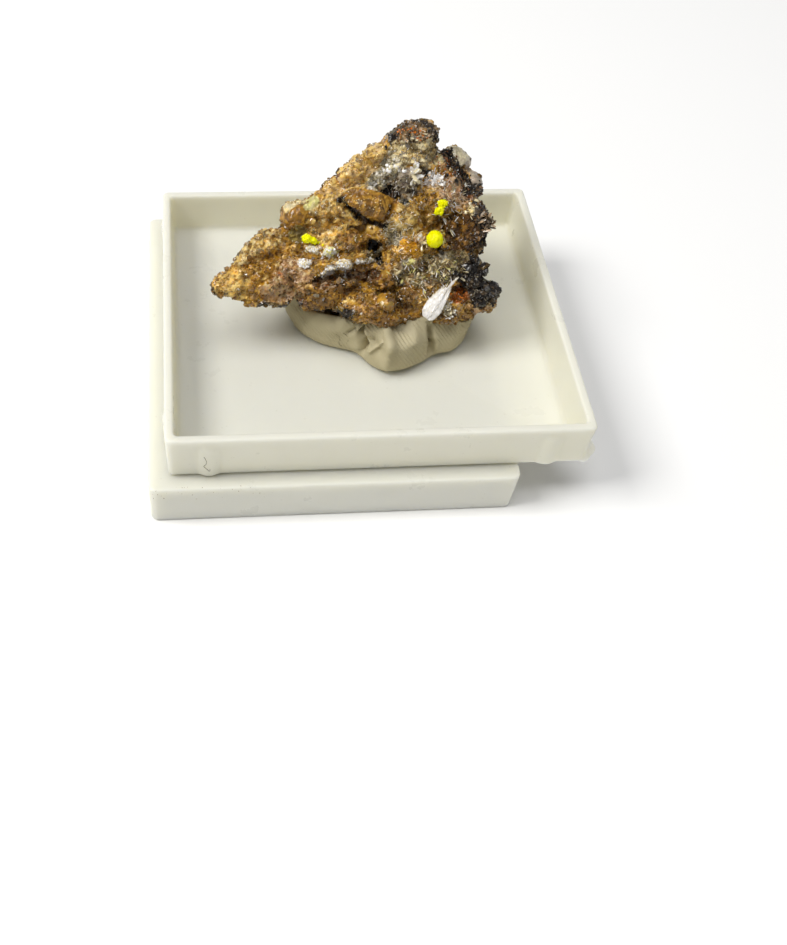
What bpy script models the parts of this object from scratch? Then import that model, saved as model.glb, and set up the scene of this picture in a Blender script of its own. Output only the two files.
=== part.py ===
"""Haiweeite with bertrandite: a small mineral specimen held in putty, in a white plastic
tray that stands on a second, upturned tray.

Sizes are millimetres, turned into metres by MM. X runs along the trays' long side, Y away
from the front and Z up. The pieces are laid out from the display tray's front left corner,
and the whole is then centred over the origin, with the ground at z = 0.
"""

import math
import random
from dataclasses import dataclass

import bmesh
import bpy
from mathutils import Matrix, Vector, noise

MM = 0.001
TOUCH_GAP = 0.25
SOCKET_GAP = 0.12

TRAY_WALL = 0.8
TRAY_FLOOR = 0.7
TRAY_CORNER = 0.9
TRAY_EDGE = 0.35
CAVITY_CORNER = 0.8
CAVITY_FILLET = 0.4

DISPLAY_WIDTH = 38.3
DISPLAY_DEPTH = 32.7
DISPLAY_HEIGHT = 5.0
DISPLAY_DRAFT = 0.2

STAND_WIDTH = 33.3
STAND_DEPTH = 35.4
STAND_HEIGHT = 4.85
STAND_LEFT = -1.4
STAND_FRONT = -1.1
STAND_DRAFT = -0.1

RIDGE_RADIUS = 1.1
RIDGE_SWELL = 0.45
RIDGE_FROM_CORNER = 3.8
RIDGE_SIDES = 14
RIDGE_REACH = 0.88
RIDGE_FOOT = 0.12
LUG_RADIUS = 1.35
LUG_SWELL = 1.05
LUG_FROM_CORNER = 1.6
LUG_REACH = 0.6

DISPLAY_BASE = STAND_HEIGHT + TOUCH_GAP
FLOOR_TOP = DISPLAY_BASE + TRAY_FLOOR

PUTTY_FOOT = (
    (11.8, 19.6), (12.6, 16.6), (14.6, 14.6), (17.3, 13.7), (18.6, 13.4), (19.4, 11.6),
    (20.9, 10.5), (22.8, 10.9), (24.8, 11.8), (26.2, 13.1), (27.5, 12.8), (29.0, 14.0),
    (30.3, 16.4), (30.2, 20.4), (28.2, 23.8), (23.6, 25.2), (18.0, 25.0), (13.6, 23.4),
)
PUTTY_MIDDLE = (21.3, 18.2)
PUTTY_LEVELS = ((-1.5, 1.0), (1.4, 1.04), (3.4, 1.0), (4.9, 0.9), (5.4, 0.55))

FACE_FOOT = (20.2, 12.7, 10.5)
FACE_TILT = math.radians(48)

FACE_OUTLINE = (
    (-15.4, 4.2), (-14.3, 5.0), (-13.0, 6.8), (-10.8, 8.6), (-9.2, 9.2), (-8.6, 10.6),
    (-7.4, 11.3), (-5.2, 12.6), (-4.3, 13.7), (-3.2, 14.1), (-1.7, 15.8), (0.3, 16.6),
    (1.2, 17.6), (2.4, 18.6), (4.5, 18.5), (5.4, 17.5), (5.9, 16.1), (7.5, 14.5),
    (9.5, 12.4), (10.4, 10.4), (10.3, 8.2), (9.8, 6.6), (10.3, 4.4), (11.5, 3.0),
    (11.6, 1.7), (10.2, 0.9), (8.5, 0.2), (6.4, 0.0), (4.8, 0.4), (2.9, 0.2),
    (0.9, -0.1), (-1.4, 0.5), (-2.8, 1.3), (-7.0, 1.6), (-7.8, 2.5), (-9.0, 1.9),
    (-12.0, 2.0), (-14.5, 3.1),
)
CORE_MIDDLE = (0.0, 9.0)
CORE_LEVELS = ((-7.2, 0.62), (-5.0, 0.92), (-2.4, 1.0), (-1.0, 0.96))
WING_THINNING = 0.5
WING_END = -11.0
WING_ROOT = -3.5


@dataclass(frozen=True)
class Lump:
    """A rounded or angular knob of the rock, placed on its face."""

    name: str
    centre: tuple
    radii: tuple
    turn: float = 0.0
    fineness: int = 2


@dataclass(frozen=True)
class CrystalField:
    """A patch of the face where pointed crystals or flat blades stand."""

    name: str
    centre: tuple
    spread: tuple
    count: int
    radius: tuple
    length: tuple
    lean: float
    flatness: float = 1.0


LUMPS = (
    Lump("oval_nodule", (-1.8, 11.1, -0.4), (3.0, 1.8, 1.8), 8),
    Lump("nodule_shoulder", (-5.2, 11.2, -1.0), (1.9, 1.3, 1.4), 20),
    Lump("round_bubble", (-7.6, 10.4, -1.1), (1.5, 1.35, 1.6)),
    Lump("upper_left_crystals", (-11.0, 7.0, -1.1), (2.2, 1.4, 1.4), 35),
    Lump("left_tip", (-13.7, 4.3, -1.2), (2.1, 1.3, 1.3), 15),
    Lump("wing_middle", (-10.6, 4.8, -1.0), (2.8, 2.4, 1.5)),
    Lump("wing_root", (-7.2, 5.6, -0.9), (2.2, 2.2, 1.4)),
    Lump("upper_ledge", (-4.2, 7.4, -0.7), (3.4, 1.7, 1.6), 8),
    Lump("ledge_crest", (-3.2, 6.3, 0.1), (2.9, 0.6, 0.8), 13),
    Lump("bottom_shelf", (-1.2, 1.5, -0.6), (3.0, 1.4, 1.6), -14),
    Lump("shelf_lump", (0.5, 2.1, 0.2), (1.1, 0.9, 1.0)),
    Lump("lower_left_shelf", (-5.6, 3.2, -0.9), (2.5, 1.5, 1.4), 5),
    Lump("corner_block", (9.7, 2.6, -1.2), (2.1, 1.9, 1.8), 30, 1),
    Lump("corner_shoulder", (8.4, 5.0, -1.0), (1.7, 1.7, 1.5), 10, 1),
    Lump("right_wall", (8.7, 9.3, -1.2), (1.9, 2.8, 1.8)),
    Lump("right_slope", (6.4, 5.2, -0.8), (2.2, 1.9, 1.5), 20),
    Lump("bottom_right", (6.2, 1.9, -1.0), (2.4, 1.5, 1.6)),
    Lump("blade_bed", (3.8, 3.4, -0.8), (2.3, 1.7, 1.4)),
    Lump("middle", (3.2, 6.9, -0.8), (2.6, 1.8, 1.5)),
    Lump("upper_middle", (2.4, 10.2, -1.0), (2.2, 2.1, 1.6)),
    Lump("upper_right", (5.6, 11.6, -1.0), (2.1, 2.0, 1.6)),
    Lump("neck", (3.2, 14.4, -1.0), (2.3, 1.8, 1.7)),
    Lump("centre_fill", (0.9, 5.0, -0.9), (2.0, 1.6, 1.3), 15),
    Lump("right_fill", (7.4, 7.2, -1.1), (1.6, 2.0, 1.5), -10),
    Lump("upper_fill", (0.2, 8.9, -1.2), (1.6, 1.4, 1.5), 30),
    Lump("top_knob", (3.6, 17.2, -1.5), (2.1, 1.75, 2.0)),
    Lump("back_lump_high", (7.2, 14.9, -3.1), (1.9, 1.6, 1.9)),
    Lump("back_lump_low", (8.9, 12.9, -3.1), (1.6, 1.5, 1.8)),
    Lump("left_ridge", (-2.3, 14.1, -1.4), (1.8, 1.1, 1.6), 42),
    Lump("high_ridge", (-0.1, 15.6, -1.7), (1.5, 1.1, 1.7), 25),
    Lump("back_left", (-4.4, 8.2, -5.2), (3.6, 3.6, 2.3), 20),
    Lump("back_right", (4.9, 8.4, -6.0), (4.0, 4.4, 2.2), 60),
    Lump("back_top", (1.6, 13.2, -5.8), (3.2, 2.8, 2.4), 10),
    Lump("back_wing", (-9.4, 5.6, -3.4), (3.4, 2.2, 1.5), 15),
)
LUMP_ROUGHNESS = 0.16
TUFT_ROUGHNESS = 0.05

PITS = (
    Lump("dark_hollow", (-0.6, 7.4, 0.5), (1.5, 0.75, 2.2), 5),
    Lump("ledge_hollow", (-4.4, 4.9, 0.5), (2.3, 0.55, 1.5), 12),
    Lump("high_cavity", (0.9, 13.0, 0.4), (0.8, 1.3, 1.9), -15),
    Lump("nodule_crack", (-3.5, 9.7, 0.8), (1.4, 0.5, 1.3), -28),
    Lump("nodule_gap", (0.9, 10.6, 0.8), (0.5, 1.2, 1.6), -30),
    Lump("edge_hole", (9.9, 9.5, 0.3), (0.5, 0.6, 1.4)),
    Lump("foot_notch", (-7.6, 2.5, 0.3), (0.5, 1.0, 2.0)),
)

CRYSTAL_FIELDS = (
    CrystalField("middle_needles", (5.8, 11.0), (1.9, 1.6), 10, (0.20, 0.34), (1.7, 2.4), 65, 0.55),
    CrystalField("middle_blades", (4.6, 6.0), (3.0, 1.9), 12, (0.30, 0.55), (1.3, 2.0), 60, 0.45),
    CrystalField("upper_blades", (3.0, 13.3), (1.8, 2.0), 8, (0.30, 0.50), (1.4, 2.1), 55, 0.5),
    CrystalField("wing_crystals", (-10.8, 5.4), (2.4, 1.4), 12, (0.28, 0.50), (1.2, 1.7), 45, 0.8),
    CrystalField("left_crystals", (-6.4, 8.4), (1.7, 1.5), 9, (0.30, 0.50), (1.3, 1.8), 45, 0.8),
    CrystalField("corner_crystals", (8.7, 3.6), (1.2, 1.8), 10, (0.40, 0.70), (1.4, 2.0), 40, 0.6),
    CrystalField("ledge_crystals", (-3.4, 4.0), (3.2, 1.0), 8, (0.30, 0.50), (1.2, 1.8), 50, 0.7),
)
CRYSTAL_SIDES = 6
CRYSTAL_DEPTH = -0.5
CRYSTAL_SEED = 11

HAIWEEITE = {
    "haiweeite_ball": (Lump("ball", (5.0, 7.95, 0.9), (0.8, 0.8, 0.8), 0, 3),),
    "haiweeite_upper_tuft": (
        Lump("crescent", (5.75, 11.2, 0.95), (0.55, 0.4, 0.45)),
        Lump("pale_tuft", (5.35, 10.5, 0.85), (0.45, 0.42, 0.42)),
    ),
    "haiweeite_left_tuft": (
        Lump("left_lobe", (-6.85, 8.2, 0.65), (0.5, 0.45, 0.45)),
        Lump("right_lobe", (-6.25, 8.0, 0.6), (0.42, 0.4, 0.42)),
    ),
}

BLADE_FAN = ((-0.35, 6.0, 1.7), (-0.05, -6.0, 2.2), (0.3, -20.0, 1.9), (0.55, -38.0, 2.9))
BLADE_FAN_FOOT = (4.55, 0.75, 0.75)
BLADE_WIDTH = 0.6
BLADE_FLATNESS = 0.5
BLADE_LEAN = -84
MERGE_DISTANCE = 0.004
SLAB_WIDTH = 40
SLAB_DEPTH = 10


def clear_scene():
    """Removes every object of the open scene."""
    for old in list(bpy.data.objects):
        bpy.data.objects.remove(old, do_unlink=True)


def new_collection(name):
    """Adds a collection to the scene."""
    collection = bpy.data.collections.new(name)
    bpy.context.scene.collection.children.link(collection)
    return collection


def new_material(name, colour, roughness, transmission=0.0):
    """Makes a Principled material of one colour."""
    material = bpy.data.materials.new(name)
    material.use_nodes = True
    shader = material.node_tree.nodes["Principled BSDF"]
    shader.inputs["Base Color"].default_value = (*colour, 1.0)
    shader.inputs["Roughness"].default_value = roughness
    shader.inputs["Metallic"].default_value = 0.0
    shader.inputs["Transmission Weight"].default_value = transmission
    return material


def new_object(name, mesh_data, collection, parent):
    """Turns a bmesh in millimetres into an object under a parent."""
    mesh = bpy.data.meshes.new(name)
    bmesh.ops.scale(mesh_data, vec=(MM, MM, MM), verts=mesh_data.verts)
    bmesh.ops.recalc_face_normals(mesh_data, faces=mesh_data.faces)
    mesh_data.to_mesh(mesh)
    mesh_data.free()
    item = bpy.data.objects.new(name, mesh)
    collection.objects.link(item)
    item.parent = parent
    return item


def new_frame(name, collection, parent, location=(0, 0, 0), rotation=(0, 0, 0)):
    """Adds an empty that carries other objects."""
    frame = bpy.data.objects.new(name, None)
    collection.objects.link(frame)
    frame.parent = parent
    frame.location = Vector(location) * MM
    frame.rotation_euler = rotation
    return frame


def hide_guide(item):
    """Shows an object as a wire guide that isn't part of the model."""
    item.hide_render = True
    item.display_type = "WIRE"


def add_boolean(item, other, operation):
    """Cuts or joins another object or collection with the exact solver."""
    modifier = item.modifiers.new(operation.lower(), "BOOLEAN")
    modifier.operation = operation
    modifier.solver = "EXACT"
    if isinstance(other, bpy.types.Collection):
        modifier.operand_type = "COLLECTION"
        modifier.collection = other
    else:
        modifier.object = other


def bake_modifiers(item):
    """Replaces an object's mesh by what its modifiers make of it, as one closed body."""
    bpy.context.view_layer.update()
    evaluated = item.evaluated_get(bpy.context.evaluated_depsgraph_get())
    baked = bpy.data.meshes.new_from_object(evaluated)
    item.modifiers.clear()
    item.data = baked
    work = bmesh.new()
    work.from_mesh(baked)
    bmesh.ops.remove_doubles(work, verts=work.verts, dist=MERGE_DISTANCE * MM)
    bmesh.ops.dissolve_degenerate(work, edges=work.edges, dist=MERGE_DISTANCE * MM)
    keep_largest_body(work)
    bmesh.ops.triangulate(work, faces=work.faces)
    work.to_mesh(baked)
    work.free()


def keep_largest_body(work):
    """Deletes the small closed pockets and crumbs left inside or beside the main body."""
    unseen = set(work.verts)
    bodies = []
    while unseen:
        seed = unseen.pop()
        body = {seed}
        queue = [seed]
        while queue:
            here = queue.pop()
            for edge in here.link_edges:
                there = edge.other_vert(here)
                if there in unseen:
                    unseen.discard(there)
                    body.add(there)
                    queue.append(there)
        bodies.append(body)
    bodies.sort(key=len, reverse=True)
    for body in bodies[1:]:
        bmesh.ops.delete(work, geom=list(body), context="VERTS")


def tub_mesh(width, depth, bottom, top, draft, corner, edge):
    """A block with rounded upright corners and a rounded bottom edge, narrower at its foot."""
    work = bmesh.new()
    height = top - bottom
    size = Matrix.Diagonal((width, depth, height, 1.0))
    bmesh.ops.create_cube(work, size=1.0, matrix=Matrix.Translation((0, 0, bottom + height / 2)) @ size)
    foot = [vert for vert in work.verts if vert.co.z < bottom + height / 2]
    inward = ((width - 2 * draft) / width, (depth - 2 * draft) / depth, 1.0)
    bmesh.ops.scale(work, vec=inward, verts=foot)
    upright = [e for e in work.edges if abs(e.verts[0].co.z - e.verts[1].co.z) > height / 2]
    bmesh.ops.bevel(work, geom=upright, offset=corner, segments=4, profile=0.5, affect="EDGES")
    rim = [e for e in work.edges if max(v.co.z for v in e.verts) < bottom + height / 4]
    bmesh.ops.bevel(work, geom=rim, offset=edge, segments=2, profile=0.5, affect="EDGES")
    return work


def add_ridge(work, x, y, radius, swell, reach, draft):
    """One upright half-round ridge: a cone mostly sunk in the wall, gone where it ends."""
    bmesh.ops.create_cone(
        work,
        cap_ends=True,
        segments=RIDGE_SIDES,
        radius1=radius,
        radius2=radius - swell + draft * reach / DISPLAY_HEIGHT,
        depth=reach,
        matrix=Matrix.Translation((x, y, RIDGE_FOOT + reach / 2)),
    )


def ridge_mesh(width, depth, height, draft):
    """Two ridges on each wall that fade out towards the rim; by the front right corner, a lug."""
    work = bmesh.new()
    half_w = width / 2 - draft
    half_d = depth / 2 - draft
    along_w = half_w - RIDGE_FROM_CORNER
    along_d = half_d - RIDGE_FROM_CORNER
    sink = RIDGE_RADIUS - RIDGE_SWELL
    reach = height * RIDGE_REACH
    for side in (-1, 1):
        for end in (-1, 1):
            add_ridge(work, end * along_w, side * (half_d - sink), RIDGE_RADIUS, RIDGE_SWELL, reach, draft)
            if (side, end) == (1, -1):
                continue
            add_ridge(work, side * (half_w - sink), end * along_d, RIDGE_RADIUS, RIDGE_SWELL, reach, draft)
    lug_x = half_w - LUG_RADIUS + LUG_SWELL
    lug_y = LUG_FROM_CORNER - half_d
    add_ridge(work, lug_x, lug_y, LUG_RADIUS, LUG_SWELL, height * LUG_REACH, draft)
    return work


def build_tray(name, size, draft, ridged, collection, cutters, parent):
    """An open tray of thin walls, with its floor at the bottom."""
    width, depth, height = size
    shell = tub_mesh(width, depth, 0.0, height, draft, TRAY_CORNER, TRAY_EDGE)
    tray = new_object(name, shell, collection, parent)
    if ridged:
        ridge_data = ridge_mesh(width, depth, height, draft)
        ridges = new_object(f"{name}_ridges", ridge_data, cutters, parent)
        hide_guide(ridges)
        add_boolean(tray, ridges, "UNION")
        bake_modifiers(tray)
    cavity_data = tub_mesh(
        width - 2 * TRAY_WALL,
        depth - 2 * TRAY_WALL,
        TRAY_FLOOR,
        height + TRAY_WALL,
        draft,
        CAVITY_CORNER,
        CAVITY_FILLET,
    )
    cavity = new_object(f"{name}_cavity", cavity_data, cutters, parent)
    hide_guide(cavity)
    add_boolean(tray, cavity, "DIFFERENCE")
    bake_modifiers(tray)
    return tray


def lump_mesh(lump, grow=0.0, roughness=LUMP_ROUGHNESS):
    """A sphere of flat facets, squeezed to a lump's radii and roughened by noise."""
    work = bmesh.new()
    bmesh.ops.create_icosphere(work, subdivisions=lump.fineness, radius=1.0)
    offset = Vector(lump.centre)
    for vert in work.verts:
        push = noise.noise(vert.co * 1.9 + offset) * roughness * 2
        vert.co *= 1.0 + push
    radii = [radius + grow for radius in lump.radii]
    bmesh.ops.scale(work, vec=radii, verts=work.verts)
    place = Matrix.Translation(offset) @ Matrix.Rotation(math.radians(lump.turn), 4, "Z")
    bmesh.ops.transform(work, matrix=place, verts=work.verts)
    return work


def crystal_mesh(radius, length, flatness, place):
    """A six-sided crystal with a chisel-like tip, standing on its middle."""
    work = bmesh.new()
    bmesh.ops.create_cone(
        work,
        cap_ends=True,
        segments=CRYSTAL_SIDES,
        radius1=radius,
        radius2=radius * 0.9,
        depth=length,
    )
    top = [face for face in work.faces if face.normal.z > 0.9]
    tip = bmesh.ops.extrude_face_region(work, geom=top)
    tip_verts = [item for item in tip["geom"] if isinstance(item, bmesh.types.BMVert)]
    bmesh.ops.delete(work, geom=top, context="FACES_ONLY")
    bmesh.ops.translate(work, vec=(radius * 0.2, 0, radius * 0.8), verts=tip_verts)
    above = Matrix.Translation((0, 0, -length / 2))
    bmesh.ops.scale(work, vec=(0.35, 0.35, 1.0), verts=tip_verts, space=above)
    bmesh.ops.scale(work, vec=(1.0, flatness, 1.0), verts=work.verts)
    bmesh.ops.transform(work, matrix=place, verts=work.verts)
    return work


def rock_core_mesh():
    """The rock's body: its outline drawn up through four levels, thin at the left wing."""
    work = bmesh.new()
    depth, size = CORE_LEVELS[0]
    middle = Vector((*CORE_MIDDLE, 0))
    spots = [middle + (Vector((u, v, 0)) - middle) * size for u, v in FACE_OUTLINE]
    cap = work.faces.new([work.verts.new((spot.x, spot.y, depth)) for spot in spots])
    for next_depth, next_size in CORE_LEVELS[1:]:
        grown = bmesh.ops.extrude_face_region(work, geom=[cap])
        ring = [item for item in grown["geom"] if isinstance(item, bmesh.types.BMVert)]
        next_cap = next(item for item in grown["geom"] if isinstance(item, bmesh.types.BMFace))
        bmesh.ops.translate(work, vec=(0, 0, next_depth - depth), verts=ring)
        stretch = next_size / size
        bmesh.ops.scale(work, vec=(stretch, stretch, 1), verts=ring, space=Matrix.Translation(-middle))
        if depth != CORE_LEVELS[0][0]:
            bmesh.ops.delete(work, geom=[cap], context="FACES_ONLY")
        cap, depth, size = next_cap, next_depth, next_size
    for vert in work.verts:
        share = (vert.co.x - WING_END) / (WING_ROOT - WING_END)
        vert.co.z *= WING_THINNING + (1 - WING_THINNING) * min(1.0, max(0.0, share))
    return work


def scatter_crystals(collection, parent):
    """Stands pointed crystals and blades in their fields on the rock's face."""
    dice = random.Random(CRYSTAL_SEED)
    for field in CRYSTAL_FIELDS:
        for index in range(field.count):
            u = field.centre[0] + dice.uniform(-1, 1) * field.spread[0]
            v = field.centre[1] + dice.uniform(-1, 1) * field.spread[1]
            lean = math.radians(dice.uniform(0.3, 1.0) * field.lean)
            place = (
                Matrix.Translation((u, v, CRYSTAL_DEPTH))
                @ Matrix.Rotation(dice.uniform(0, math.tau), 4, "Z")
                @ Matrix.Rotation(lean, 4, "X")
                @ Matrix.Rotation(dice.uniform(0, math.tau), 4, "Z")
            )
            radius = dice.uniform(*field.radius)
            length = dice.uniform(*field.length)
            shape = crystal_mesh(radius, length, field.flatness, place)
            hide_guide(new_object(f"{field.name}_{index}", shape, collection, parent))


def hull_mesh(items, parent, gap):
    """The convex hull of objects in their parent's frame, grown by a gap on every side."""
    work = bmesh.new()
    back = parent.matrix_world.inverted()
    for item in items:
        for vert in item.data.vertices:
            spot = back @ item.matrix_world @ vert.co / MM
            for axis in range(3):
                for way in (-gap, gap):
                    beside = spot.copy()
                    beside[axis] += way * math.sqrt(3)
                    work.verts.new(beside)
    hull = bmesh.ops.convex_hull(work, input=work.verts)
    loose = {item for item in hull["geom_interior"] if isinstance(item, bmesh.types.BMVert)}
    bmesh.ops.delete(work, geom=list(loose), context="VERTS")
    return work


def build_haiweeite(name, lumps, collection, guides, parent):
    """One yellow ball or tuft: spheres joined in one solid."""
    first, *others = lumps
    body = new_object(name, lump_mesh(first, roughness=TUFT_ROUGHNESS), collection, parent)
    for other in others:
        lobe = new_object(f"{name}_{other.name}", lump_mesh(other, roughness=TUFT_ROUGHNESS), guides, parent)
        hide_guide(lobe)
        add_boolean(body, lobe, "UNION")
    bake_modifiers(body)
    return body


def build_blades(collection, guides, parent):
    """The fan of white blades that stands low on the rock's face."""
    pieces = []
    for index, (shift, turn, length) in enumerate(BLADE_FAN):
        foot = Vector(BLADE_FAN_FOOT) + Vector((shift, 0, 0))
        place = (
            Matrix.Translation(foot)
            @ Matrix.Rotation(math.radians(turn), 4, "Z")
            @ Matrix.Rotation(math.radians(BLADE_LEAN), 4, "X")
            @ Matrix.Translation((0, 0, length / 2))
        )
        shape = crystal_mesh(BLADE_WIDTH, length, BLADE_FLATNESS, place)
        home = collection if index == 0 else guides
        name = "bertrandite_blades" if index == 0 else f"blade_{index}"
        pieces.append(new_object(name, shape, home, parent))
    fan, *others = pieces
    for other in others:
        hide_guide(other)
        add_boolean(fan, other, "UNION")
    bake_modifiers(fan)
    return fan


def build_rock(collection, inlays, parent):
    """The rock: its core joined with lumps and crystals, less pits and the inlays' sockets."""
    grown = new_collection("rock_growths")
    taken = new_collection("rock_pits")
    rock = new_object("matrix_rock", rock_core_mesh(), collection, parent)
    for lump in LUMPS:
        hide_guide(new_object(lump.name, lump_mesh(lump), grown, parent))
    scatter_crystals(grown, parent)
    for pit in PITS:
        hide_guide(new_object(pit.name, lump_mesh(pit), taken, parent))
    bpy.context.view_layer.update()
    for inlay in inlays:
        socket = hull_mesh([inlay], parent, SOCKET_GAP)
        hide_guide(new_object(f"{inlay.name}_socket", socket, taken, parent))
    add_boolean(rock, grown, "UNION")
    bake_modifiers(rock)
    add_boolean(rock, taken, "DIFFERENCE")
    bake_modifiers(rock)
    return rock


def build_putty(rock, collection, cutters, parent):
    """A lobed cushion of putty on the tray's floor, pressed to the rock's underside."""
    work = bmesh.new()
    middle = Vector((*PUTTY_MIDDLE, 0))
    height, size = PUTTY_LEVELS[0]
    cap = work.faces.new([work.verts.new((x, y, FLOOR_TOP + height)) for x, y in PUTTY_FOOT])
    first = cap
    for next_height, next_size in PUTTY_LEVELS[1:]:
        grown = bmesh.ops.extrude_face_region(work, geom=[cap])
        ring = [item for item in grown["geom"] if isinstance(item, bmesh.types.BMVert)]
        next_cap = next(item for item in grown["geom"] if isinstance(item, bmesh.types.BMFace))
        bmesh.ops.translate(work, vec=(0, 0, next_height - height), verts=ring)
        stretch = next_size / size
        bmesh.ops.scale(work, vec=(stretch, stretch, 1), verts=ring, space=Matrix.Translation(-middle))
        if cap is not first:
            bmesh.ops.delete(work, geom=[cap], context="FACES_ONLY")
        cap, height, size = next_cap, next_height, next_size
    putty = new_object("mounting_putty", work, collection, parent)
    soften = putty.modifiers.new("soften", "SUBSURF")
    soften.levels = 1
    soften.render_levels = 1

    press = new_object("putty_rock_press", hull_mesh([rock], parent, TOUCH_GAP), cutters, parent)
    below = bmesh.new()
    slab_middle = FLOOR_TOP + TOUCH_GAP - SLAB_DEPTH / 2
    slab_size = Matrix.Diagonal((SLAB_WIDTH, SLAB_WIDTH, SLAB_DEPTH, 1))
    slab = Matrix.Translation((*PUTTY_MIDDLE, slab_middle)) @ slab_size
    bmesh.ops.create_cube(below, size=1.0, matrix=slab)
    floor = new_object("putty_floor", below, cutters, parent)
    for guide in (press, floor):
        hide_guide(guide)
        add_boolean(putty, guide, "DIFFERENCE")
    bake_modifiers(putty)
    putty.data.shade_smooth()
    putty.data.set_sharp_from_angle(angle=math.radians(40))
    return putty


def centre_over_origin(assembly, parts):
    """Moves the assembly so that the origin lies under the middle of its box."""
    bpy.context.view_layer.update()
    depsgraph = bpy.context.evaluated_depsgraph_get()
    corners = []
    for part in parts:
        shown = part.evaluated_get(depsgraph)
        corners += [shown.matrix_world @ Vector(corner) for corner in shown.bound_box]
    for axis in range(2):
        values = [corner[axis] for corner in corners]
        assembly.location[axis] -= (min(values) + max(values)) / 2
    bpy.context.view_layer.update()


def main():
    """Builds the pieces, gives each its material and centres the assembly."""
    clear_scene()
    specimen = new_collection("haiweeite_with_bertrandite")
    cutters = new_collection("cutters")
    assembly = new_frame("assembly", specimen, None)

    stand_middle = (STAND_LEFT + STAND_WIDTH / 2, STAND_FRONT + STAND_DEPTH / 2, STAND_HEIGHT)
    stand_frame = new_frame("stand_frame", specimen, assembly, stand_middle, (math.pi, 0, 0))
    display_middle = (DISPLAY_WIDTH / 2, DISPLAY_DEPTH / 2, DISPLAY_BASE)
    display_frame = new_frame("display_frame", specimen, assembly, display_middle)
    face_frame = new_frame("face_frame", specimen, assembly, FACE_FOOT, (FACE_TILT, 0, 0))
    bpy.context.view_layer.update()

    homes = (specimen, cutters)
    stand_size = (STAND_WIDTH, STAND_DEPTH, STAND_HEIGHT)
    stand = build_tray("stand_tray", stand_size, STAND_DRAFT, False, *homes, stand_frame)
    display_size = (DISPLAY_WIDTH, DISPLAY_DEPTH, DISPLAY_HEIGHT)
    display = build_tray("display_tray", display_size, DISPLAY_DRAFT, True, *homes, display_frame)
    tufts = [
        build_haiweeite(name, lumps, specimen, cutters, face_frame) for name, lumps in HAIWEEITE.items()
    ]
    blades = build_blades(specimen, cutters, face_frame)
    rock = build_rock(specimen, [*tufts, blades], face_frame)
    putty = build_putty(rock, specimen, cutters, assembly)

    white_plastic = new_material("white_plastic", (0.78, 0.77, 0.70), 0.35)
    grey_putty = new_material("grey_putty", (0.42, 0.40, 0.31), 0.75)
    amber_rock = new_material("amber_rock", (0.42, 0.30, 0.14), 0.4)
    yellow_crystal = new_material("yellow_crystal", (0.80, 0.72, 0.03), 0.6)
    white_crystal = new_material("white_crystal", (0.85, 0.83, 0.76), 0.3)
    finishes = [(stand, white_plastic), (display, white_plastic), (putty, grey_putty)]
    finishes += [(rock, amber_rock), (blades, white_crystal)]
    finishes += [(tuft, yellow_crystal) for tuft in tufts]
    for piece, finish in finishes:
        piece.data.materials.clear()
        piece.data.materials.append(finish)
    centre_over_origin(assembly, [piece for piece, finish in finishes])


main()
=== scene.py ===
"""Dresses a haiweeite with bertrandite specimen, its putty and its two white trays.

The specimen is built over the frame's solids: the rock is a finely faceted skin with
thousands of crystals standing on it, the putty is a pressed cushion, and the trays are
thin moulded shells. Lengths are millimetres until MM turns them into metres. Places
on the specimen's face are named by the photograph's pixels and are cast onto the rock
from the photograph's viewpoint.
"""

from __future__ import annotations

import logging
import math
import random
from dataclasses import dataclass, field
from enum import Enum

import bmesh
import bpy
import numpy as np
from mathutils import Matrix, Vector, noise
from mathutils.bvhtree import BVHTree


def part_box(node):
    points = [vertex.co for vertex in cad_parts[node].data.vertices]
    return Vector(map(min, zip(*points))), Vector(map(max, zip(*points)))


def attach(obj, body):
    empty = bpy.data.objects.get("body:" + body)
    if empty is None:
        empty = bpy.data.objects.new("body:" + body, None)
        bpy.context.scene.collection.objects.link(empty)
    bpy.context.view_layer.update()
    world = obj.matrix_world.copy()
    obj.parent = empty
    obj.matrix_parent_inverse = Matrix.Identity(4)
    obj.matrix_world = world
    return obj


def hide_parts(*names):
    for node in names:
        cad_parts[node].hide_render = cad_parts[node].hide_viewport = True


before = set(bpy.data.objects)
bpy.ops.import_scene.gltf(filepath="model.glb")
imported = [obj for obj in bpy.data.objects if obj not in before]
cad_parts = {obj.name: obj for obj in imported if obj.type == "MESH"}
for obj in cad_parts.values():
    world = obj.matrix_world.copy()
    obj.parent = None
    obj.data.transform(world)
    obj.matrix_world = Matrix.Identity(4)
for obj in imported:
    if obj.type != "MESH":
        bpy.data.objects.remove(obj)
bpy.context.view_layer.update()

LOG = logging.getLogger("specimen")
MM = 0.001
BODY = "root"
NOISE_SEED = 11

STAND_LOW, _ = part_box("stand_tray")
TRAY_CORNER_INSET = Vector((1.5, 1.2, 0.0)) * MM
TRAY_CORNER = Vector((STAND_LOW.x, STAND_LOW.y, 0.0)) + TRAY_CORNER_INSET

Colour = tuple[float, float, float]
Pixel = tuple[float, float]


def linear(colour: tuple[int, int, int]) -> Colour:
    """Turns a display colour into a linear one.

    Args:
        colour: Red, green and blue from 0 to 255.

    Returns:
        The same colour, linear, from 0 to 1.
    """
    shares = [value / 255 for value in colour]
    return tuple(s / 12.92 if s <= 0.04045 else ((s + 0.055) / 1.055) ** 2.4 for s in shares)


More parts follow.
